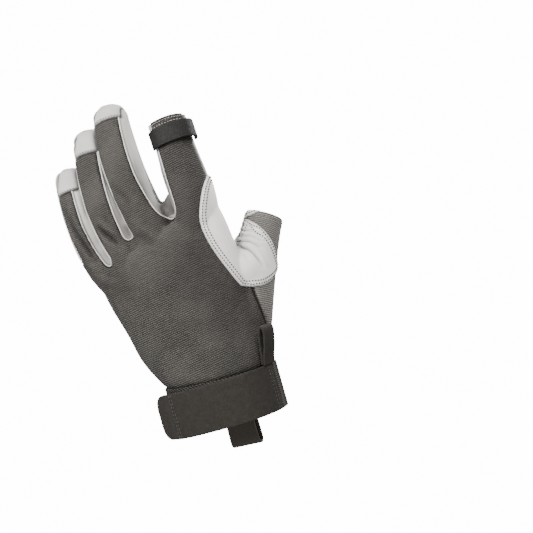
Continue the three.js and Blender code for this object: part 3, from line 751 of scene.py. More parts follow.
# %% [markdown]
# ## Where each panel lies
# Every point of the skin is asked which panel it belongs to. Seam lines across the back and the palm are
# outlines in a level view, and those on the fingers follow the finger's own middle line. On the palm
# side the leather between the fingers starts a little above the crotch, so that no flap shows there.


# %% Ask each point for its panel
def rounded(outline, rounds=3):
    """A closed outline with its corners cut, so that it runs in curves."""
    outline = np.array(outline, float)
    for _ in range(rounds):
        after = np.roll(outline, -1, 0)
        outline = np.stack([0.75 * outline + 0.25 * after, 0.25 * outline + 0.75 * after], 1)
        outline = outline.reshape(-1, 2)
    return outline


def inside(across, up, outline):
    """Which points lie inside a closed outline."""
    found = np.zeros(across.shape, bool)
    before = np.roll(outline, 1, 0)
    for (x0, y0), (x1, y1) in zip(before, outline):
        if y0 == y1:
            continue
        crosses = (y0 > up) != (y1 > up)
        found ^= crosses & (across < x0 + (up - y0) * (x1 - x0) / (y1 - y0))
    return found


def seen(points, degrees):
    """Place across and up the hand in a level view, as shares of the palm's width and length."""
    turn = math.radians(degrees)
    across = points[:, 0] * math.cos(turn) + points[:, 1] * math.sin(turn)
    return across / PALM_WIDTH, points[:, 2] / PALM_LENGTH


def finger_place(finger, points):
    """Share of the finger's length, and distances across and in front of it as shares of its width."""
    length = finger["length"] * MIDDLE_LENGTH
    line = finger_line(finger)
    at = (points[:, 2] - finger["root"] * PALM_LENGTH) / length
    for _ in range(4):
        middle, side, front, along = frames(line, at, FRONT)
        gap = points - middle
        at = np.clip(at + (gap * along).sum(1) / length, -1, 1.4)
    width = finger["width"] * FINGER_WIDTH
    return at, (gap * side).sum(1) / width, (gap * front).sum(1) / width


PATCH_BACK = rounded(
    [
        (0.9, 1.16), (0.566, 1.156), (0.491, 1.094), (0.419, 1.013), (0.367, 0.935), (0.369, 0.814),
        (0.401, 0.692), (0.438, 0.58), (0.445, 0.57), (0.515, 0.543), (0.597, 0.525), (0.685, 0.55),
        (0.735, 0.616), (0.757, 0.7), (0.742, 0.77), (0.706, 0.826), (0.662, 0.868), (0.612, 0.888),
        (0.56, 0.892),
    ],
    2,
)  # fmt: skip
PATCH_PALM = rounded(
    [
        (-0.9, 1.106), (-0.331, 1.1), (-0.108, 0.738), (-0.322, 0.682), (-0.4, 0.66), (-0.62, 0.66),
        (-0.9, 0.9),
    ],
    2,
)  # fmt: skip
THUMB_BACK = rounded(
    [
        (0.43, 0.15), (0.45, 0.2), (0.5, 0.39), (0.506, 0.56), (0.56, 0.6), (0.585, 0.7), (0.585, 1.3),
        (1.3, 1.3), (1.3, 0.15),
    ]
)  # fmt: skip
THUMB_PALM = rounded(
    [
        (-0.06, 0.12), (-0.1, 0.24), (-0.2, 0.33), (-0.34, 0.44), (-0.46, 0.55), (-0.56, 0.7),
        (-0.64, 1.05), (-1.3, 1.05), (-1.3, 0.12),
    ]
)  # fmt: skip
PANELS = [
    "palm_panel",
    "back_panel",
    "fourchette_pinky_ring",
    "fourchette_ring_middle",
    "fourchette_middle_index",
    "pinky_side",
    "thumb_back",
]
ON_PALM, ON_BACK, PINKY_RING, RING_MIDDLE, MIDDLE_INDEX, BESIDE_PINKY, ON_THUMB = range(len(PANELS))
SLOTS = (PINKY_RING, RING_MIDDLE, MIDDLE_INDEX)
SIDES = (*SLOTS, BESIDE_PINKY)
PATCH = 16
BACK_VIEW = 20
PALM_VIEW = 160

CROTCH_HALF = np.array([2.6, 2.6, 7.2])
PALM_SLOT = 5.0
palm_heights = np.concatenate([[0], PALM["up"] * PALM_LENGTH, [1.3 * PALM_LENGTH]])
palm_middles = np.concatenate([[0], PALM["forward"], [0.03]]) * PALM_DEPTH
crotch_across = np.array([-1] + [c[2] for c in CROTCHES.values()] + [1]) * PALM_WIDTH
crotch_up = np.array([0.94] + [c[3] for c in CROTCHES.values()] + [1.018]) * PALM_LENGTH
thumb_walk = thumb_line(np.linspace(0, 1.4, 40))


def between_outline(name):
    """The space between two fingers' middle lines, above their crotch, seen from the back."""
    low_finger, high_finger, across, up = CROTCHES[name]
    steps = np.array([0, 0.25, 0.5, 0.75, 1.05])
    left = finger_line(FINGERS[low_finger])(steps)[:, [0, 2]]
    right = finger_line(FINGERS[high_finger])(steps)[::-1][:, [0, 2]]
    middle, low = across * PALM_WIDTH, (up - 0.03) * PALM_LENGTH
    half = 0.05 * PALM_WIDTH
    return np.vstack([[middle - half, low], left, right, [middle + half, low]])


def beside_pinky():
    """The space on the outer side of the little finger, seen from the back."""
    line = finger_line(FINGERS["pinky"])
    width = FINGERS["pinky"]["width"] * FINGER_WIDTH
    points = line(np.array([0.1, 0.3, 0.5, 0.75, 1.05]))[:, [0, 2]]
    low = line(-0.12)
    top = line(1.05)
    return np.vstack([[low[0] - width, low[2]], points, [top[0] - width, top[2]]])


def thumb_sides(points):
    """Share of the thumb's length, and how far a point lies on its knit side."""
    walk_at = np.linspace(0, 1.1, 60)
    walk = thumb_line(walk_at)
    nearest = ((points[:, None] - walk[None]) ** 2).sum(-1).argmin(1)
    middle, _, front, _ = thumb_frames(walk_at)
    return walk_at[nearest], -((points - middle[nearest]) * front[nearest]).sum(1)


def panel_of(points):
    """The panel's number at each point, plus PATCH where the patch lies over it."""
    x, y, z = points.T
    found = np.zeros(len(points), int)
    places = {name: finger_place(finger, points) for name, finger in FINGERS.items()}
    names = list(FINGERS)
    away = np.stack([places[n][1] ** 2 + places[n][2] ** 2 for n in names])
    nearest = away.argmin(0)
    front = np.zeros(len(points), bool)
    behind_palm = y < np.interp(z, palm_heights, palm_middles)
    from_crotch = np.abs(x[:, None] - crotch_across[1:-1]) / CROTCH_HALF
    rise = (np.minimum(from_crotch**3, 4) * CROTCH_HALF).min(1)
    above_crotch = z - np.interp(x, crotch_across, crotch_up)
    knitted = behind_palm & (above_crotch < rise)
    for i, name in enumerate(names):
        at, side, fore = places[name]
        own = nearest == i
        last = FINGERS[name]["cap"]
        left, right = (
            np.interp(at, [0, 0.4, last, 1.02], (*FINGERS[name][edge], FINGERS[name][edge][1], 0.12))
            for edge in ("knit_left", "knit_right")
        )
        knitted |= own & (at > -0.36) & (at < last) & (side > -left) & (side < right) & (fore < 0)
        right = 1 if name == "index" else FRONT_SHARE
        front |= own & (fore > 0) & (side > -FRONT_SHARE) & (side < right)
        front |= own & (at > last) & (side > -left) & (side < right)
    narrow = np.minimum((from_crotch.min(1) * 1.6) ** 2, 4) * 2
    front |= ~behind_palm & (above_crotch < PALM_SLOT + narrow)
    for i, name in enumerate(CROTCHES):
        found[inside(x, z, between_outline(name)) & ~front] = PINKY_RING + i
    found[inside(x, z, beside_pinky()) & ~front] = BESIDE_PINKY
    found[knitted] = ON_BACK
    along_thumb, on_knit_side = thumb_sides(points)
    turning = np.clip((along_thumb - 0.45) / 0.4, 0, 1)
    behind_thumb = np.interp(z, thumb_walk[:, 2], thumb_walk[:, 1]) - y
    behind_thumb = (1 - turning) * behind_thumb + turning * on_knit_side > 0
    thumb_back = inside(*seen(points, BACK_VIEW), THUMB_BACK) & behind_thumb
    thumb_palm = inside(*seen(points, PALM_VIEW), THUMB_PALM) & ~behind_thumb
    found[thumb_back | thumb_palm] = ON_THUMB
    thumb_side = x > 0.52 * PALM_WIDTH
    near = (y > 0) & (y < 0.75 * PALM_DEPTH) & (x > 0) & (~thumb_side | (z > 0.87 * PALM_LENGTH))
    patched = inside(*seen(points, BACK_VIEW), PATCH_BACK) & (behind_palm | (behind_thumb & thumb_side))
    patched |= inside(*seen(points, PALM_VIEW), PATCH_PALM) & near
    return found + PATCH * patched


print("panels:", ", ".join(PANELS))

# %% [markdown]
# ## Smooth seam lines
# A seam that follows the skin's squares would be a staircase. So the line is found exactly: between
# each two squares of different panels the change is halved down to a point, and each vertex on
# the border moves to the middle of its own points. Then it is dropped back on the skin.

# %% Draw the seam lines
faces = [[v.index for v in f.verts] for f in skin.faces]
centres = np.array([f.calc_center_median() for f in skin.faces]) / MM
marks = panel_of(centres)
surface = BVHTree.FromBMesh(skin)
places = np.array([v.co for v in skin.verts]) / MM
edge_ends = np.array([[v.index for v in e.verts] for e in skin.edges])
edge_faces = [[f.index for f in e.link_faces] for e in skin.edges]
open_edges = np.array([len(f) == 1 for f in edge_faces])
pairs = np.array([f if len(f) == 2 else [f[0], f[0]] for f in edge_faces])
border = np.nonzero(marks[pairs[:, 0]] != marks[pairs[:, 1]])[0]


def on_skin(points):
    """The nearest places of the skin."""
    return np.array([surface.find_nearest(Vector(p) * MM)[0] for p in points]) / MM


def change_between(low, high, low_marks):
    """Where the panel changes on the way from one point to another."""
    for _ in range(8):
        middle = (low + high) / 2
        same = (panel_of(middle) == low_marks)[:, None]
        low, high = np.where(same, middle, low), np.where(same, high, middle)
    return (low + high) / 2


changes = change_between(
    centres[pairs[border, 0]], centres[pairs[border, 1]], marks[pairs[border, 0]]
)
total = np.zeros_like(places)
count = np.zeros(len(places))
for end in (0, 1):
    np.add.at(total, edge_ends[border, end], changes)
    np.add.at(count, edge_ends[border, end], 1)
on_border = count > 0
on_open = np.zeros(len(places), bool)
on_open[edge_ends[open_edges].ravel()] = True
moved = on_border & ~on_open
places[moved] = on_skin(total[moved] / count[moved, None])


def relaxed(values, edges, held, rounds, share=0.5):
    """Each value moves towards the middle of its neighbours', except the held ones."""
    number = np.zeros(len(values))
    for end in (0, 1):
        np.add.at(number, edges[:, end], 1)
    for _ in range(rounds):
        near = np.zeros_like(values)
        for axis in range(values.shape[1]):
            for a, b in ((0, 1), (1, 0)):
                near[:, axis] += np.bincount(
                    edges[:, a], values[edges[:, b], axis], minlength=len(values)
                )
        middle = near / np.maximum(number, 1)[:, None]
        values = np.where(held[:, None], values, values + share * (middle - values))
    return values


places = relaxed(places, edge_ends, on_border | on_open, 3)
places = np.where((on_border | on_open)[:, None], places, on_skin(places))
print("border edges:", len(border), "open edges:", int(open_edges.sum()))

# %% [markdown]
# ## Relief of the skin
# Sewn panels roll down into their seams and swell a little beside them. Between the fingers the leather
# sinks in a channel. Folds and creases come from a short table of lines: the view that they are drawn
# in, the line, its width, its depth (less than 0 is a ridge) and the panel that it stays on. Slow
# noise keeps the cloth from looking cast.

# %% Push the skin in and out
SEAM_SINK = 1.1
SEAM_REACH = 1.9
SEAM_SWELL = 0.25
SWELL_AT = 3.0
SWELL_REACH = 1.6
SLOW_RISE = 0.2
CHANNEL_SINK = 2.4
CHANNEL_REACH = 2.6


def tree_of(points):
    tree = KDTree(len(points))
    for i, point in enumerate(points):
        tree.insert(point, i)
    tree.balance()
    return tree


def distance_to(tree, points, limit=12.0):
    """Distance to the nearest point of a tree, up to a limit."""
    found = np.full(len(points), limit)
    for i, point in enumerate(points):
        _, _, gap = tree.find(point)
        found[i] = min(gap, limit)
    return found


def with_middles(edges):
    """End points and middles of edges, so that a line is sampled closely."""
    ends = places[edge_ends[edges]]
    return np.vstack([ends[:, 0], ends[:, 1], ends.mean(1)])


FOLDS = [
    (BACK_VIEW, [(0.61, 0.846), (0.663, 0.824), (0.7, 0.785)], 1.1, 1.3, None),
    (BACK_VIEW, [(0.588, 0.824), (0.664, 0.795), (0.712, 0.742)], 1.2, 1.8, None),
    (BACK_VIEW, [(0.56, 0.802), (0.64, 0.776), (0.7, 0.72)], 1.2, 1.9, None),
    (BACK_VIEW, [(0.537, 0.781), (0.624, 0.75), (0.68, 0.692)], 1.2, 1.9, None),
    (BACK_VIEW, [(0.53, 0.766), (0.598, 0.709), (0.622, 0.654), (0.636, 0.592)], 1.3, 2.0, None),
    (BACK_VIEW, [(0.535, 0.744), (0.556, 0.698), (0.558, 0.65)], 1.6, 0.5, None),
    (BACK_VIEW, [(-0.42, 0.93), (-0.38, 0.88), (-0.33, 0.84)], 2.6, -0.7, ON_BACK),
    (BACK_VIEW, [(-0.44, 0.99), (-0.41, 0.95), (-0.38, 0.92)], 2.2, -0.6, ON_BACK),
    (BACK_VIEW, [(-0.1, 1.0), (-0.06, 0.96), (0.0, 0.93)], 3.0, -0.6, ON_BACK),
    (BACK_VIEW, [(-0.29, 0.93), (-0.27, 0.9), (-0.23, 0.86)], 3.0, -0.5, ON_BACK),
    (BACK_VIEW, [(-0.345, 1.02), (-0.385, 1.18), (-0.42, 1.34)], 2.2, -1.9, ON_BACK),
    (BACK_VIEW, [(-0.39, 1.0), (-0.425, 1.12), (-0.45, 1.22)], 1.8, 1.2, ON_BACK),
    (BACK_VIEW, [(-0.25, 1.17), (-0.2, 1.1), (-0.145, 1.03)], 1.8, -1.6, ON_BACK),
    (BACK_VIEW, [(-0.275, 1.13), (-0.225, 1.06), (-0.17, 0.99)], 1.8, 1.2, ON_BACK),
    (BACK_VIEW, [(-0.06, 1.28), (-0.02, 1.22), (0.0, 1.15)], 2.2, 0.7, ON_BACK),
    (BACK_VIEW, [(0.0, 1.04), (0.04, 0.98), (0.1, 0.93)], 2.6, -0.8, ON_BACK),
    (PALM_VIEW, [(0.29, 0.945), (0.28, 0.9), (0.25, 0.86)], 2.4, 0.9, ON_PALM),
    (PALM_VIEW, [(0.08, 1.02), (0.07, 0.96), (0.05, 0.9)], 2.4, 0.9, ON_PALM),
    (PALM_VIEW, [(-0.26, 1.02), (-0.23, 0.95), (-0.2, 0.88)], 2.4, 0.9, ON_PALM),
    (PALM_VIEW, [(-0.12, 0.3), (-0.2, 0.42), (-0.24, 0.56), (-0.2, 0.7)], 3.5, 1.6, ON_PALM),
    (PALM_VIEW, [(-0.3, 0.48), (-0.34, 0.58), (-0.33, 0.68)], 2.4, 1.2, ON_PALM),
]


def fold_relief(points, facing, panels):
    """Valleys along short lines in a level view, with a low ridge on each side."""
    total = np.zeros(len(points))
    for degrees, line, width, depth, only in FOLDS:
        turn = math.radians(degrees)
        towards = np.array([math.sin(turn), -math.cos(turn), 0])
        across, up = seen(points, degrees)
        spots = np.stack([across * PALM_WIDTH, up * PALM_LENGTH, 0 * up], -1)
        path = np.array(line) * [PALM_WIDTH, PALM_LENGTH]
        length = lengths_along(path)
        at = np.linspace(0, length[-1], 60)
        path = np.stack([smoothed(np.interp(at, length, c), 40) for c in path.T] + [0 * at], -1)
        tree = tree_of(path)
        low, high = path.min(0) - 4 * width, path.max(0) + 4 * width
        near = (spots[:, :2] > low[:2]).all(1) & (spots[:, :2] < high[:2]).all(1)
        near &= facing @ towards > 0.05
        if only is not None:
            near &= panels == only
        for i in np.nonzero(near)[0]:
            _, number, gap = tree.find(spots[i])
            taper = min(1, 4 * number / 59 + 0.35, 3 * (1 - number / 59))
            ridge = math.exp(-(((gap - 1.9 * width) / width) ** 2))
            total[i] -= depth * taper * (math.exp(-((gap / width) ** 2)) - 0.45 * ridge)
    return total


bare = marks % PATCH
under = marks >= PATCH
vertex_panel = np.zeros(len(places), int)
for face, mark in zip(faces, bare):
    vertex_panel[face] = mark
seam_edges = border[
    (bare[pairs[border, 0]] != bare[pairs[border, 1]])
    & ~(under[pairs[border, 0]] & under[pairs[border, 1]])
]
patch_edges = border[under[pairs[border, 0]] != under[pairs[border, 1]]]
seam_tree = tree_of(with_middles(seam_edges))
patch_tree = tree_of(with_middles(patch_edges))
open_tree = tree_of(with_middles(np.nonzero(open_edges)[0]))
seam_gap = distance_to(seam_tree, places)
patch_gap = distance_to(patch_tree, places)
open_gap = distance_to(open_tree, places)
finger_places = [finger_place(finger, places)[:2] for finger in FINGERS.values()]

corner = np.array([f[:3] for f in faces])
last_corner = np.array([f[-1] for f in faces])


def normals_of(points):
    """Outward direction at each vertex, from all faces at once."""
    a, b, c = (points[corner[:, i]] for i in range(3))
    turned = np.cross(b - a, c - a)
    total = np.zeros_like(points)
    for i in range(3):
        np.add.at(total, corner[:, i], turned)
    np.add.at(total, last_corner, turned)
    return unit(total + 1e-12)


def up_the_fingers(wide):
    """Share of the finger's length at each vertex that lies within some widths of its middle line."""
    return np.max([at * (np.abs(side) < wide) for at, side in finger_places], 0)


outward = normals_of(places)
slow = np.array([noise.noise(Vector(p) * 0.045) + 0.5 * noise.noise(Vector(p) * 0.11) for p in places])
seam_share = np.clip(1 - seam_gap / SEAM_REACH, 0, 1)
swell = np.exp(-(((seam_gap - SWELL_AT) / SWELL_REACH) ** 2))
relief = SLOW_RISE * slow - SEAM_SINK * seam_share**1.5 + SEAM_SWELL * swell
relief += fold_relief(places, outward, vertex_panel)
channel = np.isin(vertex_panel, SLOTS) * np.clip(1 - up_the_fingers(0.8) / 0.5, 0, 1)
channel *= outward[:, 1] < 0.2
relief -= CHANNEL_SINK * channel * np.clip(seam_gap / CHANNEL_REACH, 0, 1)
shaped = places + outward * relief[:, None]
outward = normals_of(shaped)
print("relief from", round(relief.min(), 2), "to", round(relief.max(), 2), "mm")

# %% [markdown]
# ## Panels
# Each panel is cut from the skin by deleting all other faces, and a Solidify modifier gives it the
# thickness of its cloth, inwards. The weave attribute lays the knit across the hand and round the thumb.

# %% Tools to cut a panel
LEATHER = 1.2
THUMB_ROUND = 13
THUMB_LONG = 85
SKY_RAYS = 12
SKY_REACH = 16.0


def shadow_of(points, facing):
    """How much of the sky over each point is hidden by the skin nearby, from 0 to 1."""
    tree = BVHTree.FromPolygons([Vector(p) for p in points], faces)
    turn = np.arange(SKY_RAYS) * math.pi * (3 - math.sqrt(5))
    up = (np.arange(SKY_RAYS) + 0.5) / SKY_RAYS
    hidden = np.zeros(len(points))
    for i, (point, normal) in enumerate(zip(points, facing)):
        if normal[1] > 0.6:
            continue
        side = unit(np.cross(normal, [0.3, 0.5, 0.8]))
        start = Vector(point + normal * 0.4)
        flat = np.sqrt(1 - up**2)
        rays = up[:, None] * normal + (flat * np.cos(turn))[:, None] * side
        rays = rays + (flat * np.sin(turn))[:, None] * np.cross(normal, side)
        hits = [tree.ray_cast(start, Vector(ray), SKY_REACH)[3] for ray in rays]
        hidden[i] = sum(1 - hit / SKY_REACH for hit in hits if hit is not None) / SKY_RAYS
    return hidden


def number_layer(mesh, name, values):
    attribute = mesh.attributes.new(name, "FLOAT", "POINT")
    attribute.data.foreach_set("value", np.asarray(values, np.float32))


def vector_layer(mesh, name, values):
    attribute = mesh.attributes.new(name, "FLOAT_VECTOR", "POINT")
    attribute.data.foreach_set("vector", np.asarray(values, np.float32).ravel())


def dress(obj, node, slot):
    """The piece rides on the body and stands for its node, which is hidden."""
    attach(obj, "root")
    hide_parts(node)


def thumb_weave(points):
    """Place round the thumb and along it, in millimetres."""
    walk_at = np.linspace(-0.1, 1.1, 120)
    walk = thumb_line(walk_at)
    nearest = ((points[:, None] - walk[None]) ** 2).sum(-1).argmin(1)
    middle, side, front, along = thumb_frames(walk_at[nearest])
    gap = points - middle
    round_thumb = np.arctan2((gap * side).sum(1), -(gap * front).sum(1)) * THUMB_ROUND
    lengthwise = walk_at[nearest] * THUMB_LONG + (gap * along).sum(1)
    return np.stack([round_thumb, lengthwise, 0 * lengthwise], -1)


def cut_panel(name, keep, points, thickness, material, weave, dark):
    """A piece of the skin: the faces to keep, moved to their new places, with a wall."""
    bm = skin.copy()
    bm.faces.ensure_lookup_table()
    layer = bm.verts.layers.int.new("skin_index")
    for vert in bm.verts:
        vert[layer] = vert.index
        vert.co = points[vert.index] * MM
    bmesh.ops.delete(bm, geom=[f for f in bm.faces if not keep[f.index]], context="FACES")
    index = np.array([v[layer] for v in bm.verts])
    obj = link(name, bm, material)
    # The panel's painted shade goes into its colour through this attribute.
    number_layer(obj.data, "painted_shade", dark[index])
    vector_layer(obj.data, "weave", weave[index])
    wall = obj.modifiers.new("wall", "SOLIDIFY")
    wall.thickness = thickness * MM
    wall.offset = -1
    return obj


print("panels can be cut")

# %% [markdown]
# ## Painted shade
# Leather and knit are painted darker in a seam, in a crease and where a neighbour hides the sky:
# this is painted shade. Rays are sent out from each point of the skin to find how much of the sky is
# hidden, which an export of the glove keeps as part of its colour. The painted shade also makes the
# leather between the fingers and on the fingertips greyer on the back than on the palm, and the knit
# darker towards the thumb.

# %% Paint the shade
# Strengths and reach of the painted shade.
PALM_SEAM = 0.5
BACK_SEAM = 1.1
SEAM_LINE = 0.9
SLOT_SHADE = 0.8
CAP_SHADE = 0.3
KNIT_SHADE = 0.26
CREASE_SHADE = 0.5
SKY_SHADE = 1.2
DARKEST = 0.92

free = np.zeros(len(places), bool)
hidden = relaxed(shadow_of(shaped, outward)[:, None], edge_ends, free, 6)[:, 0]
print("hidden sky up to", round(hidden.max(), 2), "middle", round(float(np.median(hidden)), 2))
up_finger = np.maximum(up_the_fingers(1.4), 0)
turned_back = np.clip(0.35 - 1.6 * outward[:, 1], 0, 1)
to_thumb = np.clip((places[:, 0] + 5) / 50, 0, 1)
# Painted shade along every seam, stronger where the skin faces the back.
skin_painted_shade = np.exp(-((seam_gap / SEAM_LINE) ** 2)) * np.where(outward[:, 1] > 0.1, PALM_SEAM, BACK_SEAM)
# Painted shade low on the leather between middle and index finger, where it faces the back.
low_side = np.clip(1.05 - up_finger, 0, 0.7) * (up_finger > 0.02)
skin_painted_shade += (vertex_panel == MIDDLE_INDEX) * turned_back * low_side
# Painted shade high on the leather between ring and middle finger, where it faces the back.
high_side = np.clip(up_finger - 0.3, 0, 0.6)
skin_painted_shade += SLOT_SHADE * (vertex_panel == RING_MIDDLE) * turned_back * high_side
# Painted shade on the leather caps where they face the back.
skin_painted_shade += CAP_SHADE * (vertex_panel == ON_PALM) * turned_back
# Painted shade on the knit, darker towards the thumb.
skin_painted_shade += KNIT_SHADE * (vertex_panel == ON_BACK) * to_thumb
# Painted shade in the knit's creases.
skin_painted_shade += CREASE_SHADE * (vertex_panel == ON_BACK) * np.clip(-relief - 0.15, 0, 1)
# Painted shade where the skin nearby hides the sky.
skin_painted_shade = np.clip(skin_painted_shade + SKY_SHADE * np.clip(hidden - 0.12, 0, 1), 0, DARKEST)

# %% Cut the panels
flat_weave = np.stack([places[:, 0], places[:, 2], 0 * places[:, 0]], -1)
for number, name in enumerate(PANELS):
    cloth = [pale_leather, back_knit, *[shaded_side_leather] * 4, thumb_knit_painted_light][number]
    weave = thumb_weave(places) if number == ON_THUMB else flat_weave
    panel = cut_panel(name + "_cloth", bare == number, shaped, LEATHER, cloth, weave, skin_painted_shade)
    dress(panel, name, name)
    print(name, len(panel.data.polygons), "faces")

# %% [markdown]
# ## The saddle patch
# A second layer of leather is sewn over the web between thumb and index finger, where a rope runs.
# It lies on the other panels, so it is the same skin pushed outwards, with an edge that rolls down.

# %% Lay the patch
PATCH_RISE = 1.25
PATCH_FOOT = 0.35
PATCH_EDGE = 0.6
PATCH_LEATHER = 0.9

patch_rise = PATCH_FOOT + (PATCH_RISE - PATCH_FOOT) * (1 - np.exp(-patch_gap / PATCH_EDGE))
patch_places = shaped + outward * patch_rise[:, None]
# Painted shade at the patch's rolled edge and where the skin nearby hides the sky.
patch_painted_shade = np.exp(-((patch_gap / PATCH_EDGE) ** 2)) * 0.5 + np.clip(hidden - 0.2, 0, 0.6)
patch_painted_shade = np.clip(patch_painted_shade, 0, 0.8)
patch = cut_panel(
    "saddle_patch_leather", under, patch_places, PATCH_LEATHER, patch_leather, flat_weave, patch_painted_shade
)
dress(patch, "saddle_patch", "saddle_patch")
print("patch:", len(patch.data.polygons), "faces")

# %% [markdown]
# ## Stitches
# A row of stitches runs at an even distance from a seam. That distance is already known at each vertex,
# so the row is the level line of it: every face that the level passes through gives a short step, and
# the steps are chained. Each stitch is a small bead of thread, pressed into the cloth.


# %% Find level lines and sew along them
def walks(steps, is_end):
    """Chains of keys that touch, from each end on. A ring starts at its smallest key."""
    left = set(steps)
    while left:
        ends = [key for key in left if is_end(len(steps[key]))]
        chain = [min(ends) if ends else min(left)]
        left.discard(chain[0])
        while True:
            ahead = [key for key in steps[chain[-1]] if key in left]
            if not ahead:
                break
            chain.append(ahead[0])
            left.discard(ahead[0])
        yield chain


def level_lines(values, level, keep, points):
    """Chains of points where the values pass a level, on the faces that are kept."""
    steps = {}
    where = {}
    for face_number in np.nonzero(keep)[0]:
        face = faces[face_number]
        above = [values[i] > level for i in face]
        if all(above) or not any(above):
            continue
        crossed = []
        for i, start in enumerate(face):
            end = face[(i + 1) % len(face)]
            if (values[start] > level) != (values[end] > level):
                key = (min(start, end), max(start, end))
                part = (level - values[key[0]]) / (values[key[1]] - values[key[0]])
                where[key] = points[key[0]] * (1 - part) + points[key[1]] * part
                crossed.append(key)
        if len(crossed) == 2:
            steps.setdefault(crossed[0], []).append(crossed[1])
            steps.setdefault(crossed[1], []).append(crossed[0])
    chains = []
    for chain in walks(steps, lambda touching: touching == 1):
        if len(chain) > 3 and chain[0] in steps[chain[-1]]:
            chain.append(chain[0])
        chains.append(np.array([where[key] for key in chain]))
    return chains


def even_points(chain, pitch):
    """Points an even pitch apart along a chain, and the direction of the chain there."""
    chain = np.array(chain)
    for _ in range(3):
        inner = chain[1:-1] / 2 + (chain[:-2] + chain[2:]) / 4
        chain = np.vstack([chain[:1], inner, chain[-1:]])
    length = lengths_along(chain)
    number = max(int(length[-1] / pitch), 1)
    at = (np.arange(number) + 0.5) * length[-1] / number
    points = np.stack([np.interp(at, length, column) for column in chain.T], -1)
    ahead = np.stack([np.interp(at + 0.3, length, column) for column in chain.T], -1)
    behind = np.stack([np.interp(at - 0.3, length, column) for column in chain.T], -1)
    return points, unit(ahead - behind + 1e-9)


def sew(bm, points, along, outward_at, length, thick, rise=0.1):
    """Adds one bead of thread at each point."""
    for point, direction, normal in zip(points, along, outward_at):
        direction = unit(direction)
        side = np.cross(normal, direction)
        turn = Matrix(np.column_stack([direction, side, normal]).tolist()).to_4x4()
        size = Matrix.Diagonal((length / 2 * MM, thick / 2 * MM, thick / 2 * MM, 1))
        place = Matrix.Translation((point + normal * rise) * MM)
        bmesh.ops.create_uvsphere(bm, u_segments=6, v_segments=5, radius=1, matrix=place @ turn @ size)


def sew_rows(bm, values, level, keep, points, pitch=2.6, length=1.9, thick=0.5, shortest=8.0):
    """Sews along every level line that is long enough."""
    used = np.unique(np.concatenate([faces[i] for i in np.nonzero(keep)[0]]))
    tree = tree_of(points[used])
    for chain in level_lines(values, level, keep, points):
        if np.linalg.norm(np.diff(chain, axis=0), axis=1).sum() < shortest:
            continue
        spots, along = even_points(chain, pitch)
        normal = np.array([outward[used[tree.find(p)[1]]] for p in spots])
        sew(bm, spots, along, normal, length, thick)


def seams_object(name, bm, material):
    """Stitches or cords as one piece on the body, with a material and a weave attribute."""
    obj = link(name, bm, material)
    vector_layer(obj.data, "weave", np.array([v.co for v in obj.data.vertices]) / MM)
    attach(obj, "root")
    return obj


PATCH_ROWS = (1.7, 3.7)
HEM_ROWS = (1.8, 4.0)

stitches = bmesh.new()
for row in PATCH_ROWS:
    sew_rows(stitches, patch_gap, row, under, patch_places, pitch=1.9, length=1.3, thick=1.0)
patch_stitches = seams_object("patch_stitches", stitches, grey_thread_painted_shade)
print("patch stitches:", len(patch_stitches.data.polygons), "faces")

# %% Sew the hems of the open ends
above_cuff = centres[:, 2] > 60
hems = bmesh.new()
for row in HEM_ROWS:
    sew_rows(hems, open_gap, row, above_cuff & ~under, shaped, pitch=2.0, length=1.5)
hem_stitches = seams_object("hem_stitches", hems, hem_thread)
print("hem stitches:", len(hem_stitches.data.polygons), "faces")

# %% [markdown]
# ## Rolled edges, painted shade on the tip seams, and tip stitches
# The leather between the fingers is turned over at its seam, which leaves a thin light roll along each
# side and round each crotch, on the palm side too. It is a cord laid along the chain of border
# vertices. A thin dark cord along the seam over each fingertip is painted shade, for the shadow in the
# seam's groove, and the leather caps of the fingertips are topstitched just above their edge.


# %% Roll the edges
def vertex_chains(edges):
    """Chains of vertex numbers along some edges of the skin."""
    steps = {}
    for start, end in edge_ends[edges]:
        steps.setdefault(int(start), []).append(int(end))
        steps.setdefault(int(end), []).append(int(start))
    return list(walks(steps, lambda touching: touching != 2))


def cord_along(bm, points, normal, radius, sides=8):
    """A round cord through points, closed at both ends."""
    points = np.stack([smoothed(column, 6) for column in points.T], -1)
    along = unit(np.gradient(points, axis=0) + 1e-9)
    side = unit(np.cross(normal, along))
    size = np.full(len(points), radius)
    size[[0, -1]] = radius * 0.4
    cord = laid(rings(points, side, np.cross(along, side), size, size, 2, sides))
    mesh = bpy.data.meshes.new("cord")
    cord.to_mesh(mesh)
    cord.free()
    bm.from_mesh(mesh)
    bpy.data.meshes.remove(mesh)


ROLL = 0.45
PALM_ROLL = 0.6
PALM_ROLL_HIGH = 7
TIP_SEAM = 0.3
TIP_SEAM_LOW = 25

rolls = bmesh.new()
pair = np.sort([bare[pairs[border, 0]], bare[pairs[border, 1]]], 0)
start = places[edge_ends[border, 0]]
facing_palm = outward[edge_ends[border, 0], 1]
above_slot = start[:, 2] - np.interp(start[:, 0], crotch_across, crotch_up)
for number in SIDES:
    for chain in vertex_chains(border[(pair[0] == ON_BACK) & (pair[1] == number)]):
        if len(chain) > 12:
            cord_along(rolls, places[chain] - outward[chain] * 0.2, outward[chain], ROLL)
in_slot = (pair[0] == ON_PALM) & np.isin(pair[1], SLOTS) & (above_slot < PALM_SLOT + PALM_ROLL_HIGH)
for chain in vertex_chains(border[in_slot & (facing_palm > 0)]):
    if len(chain) > 6:
        cord_along(rolls, shaped[chain] + outward[chain] * 0.1, outward[chain], PALM_ROLL)
rolled_edges = seams_object("rolled_edges", rolls, pale_leather)
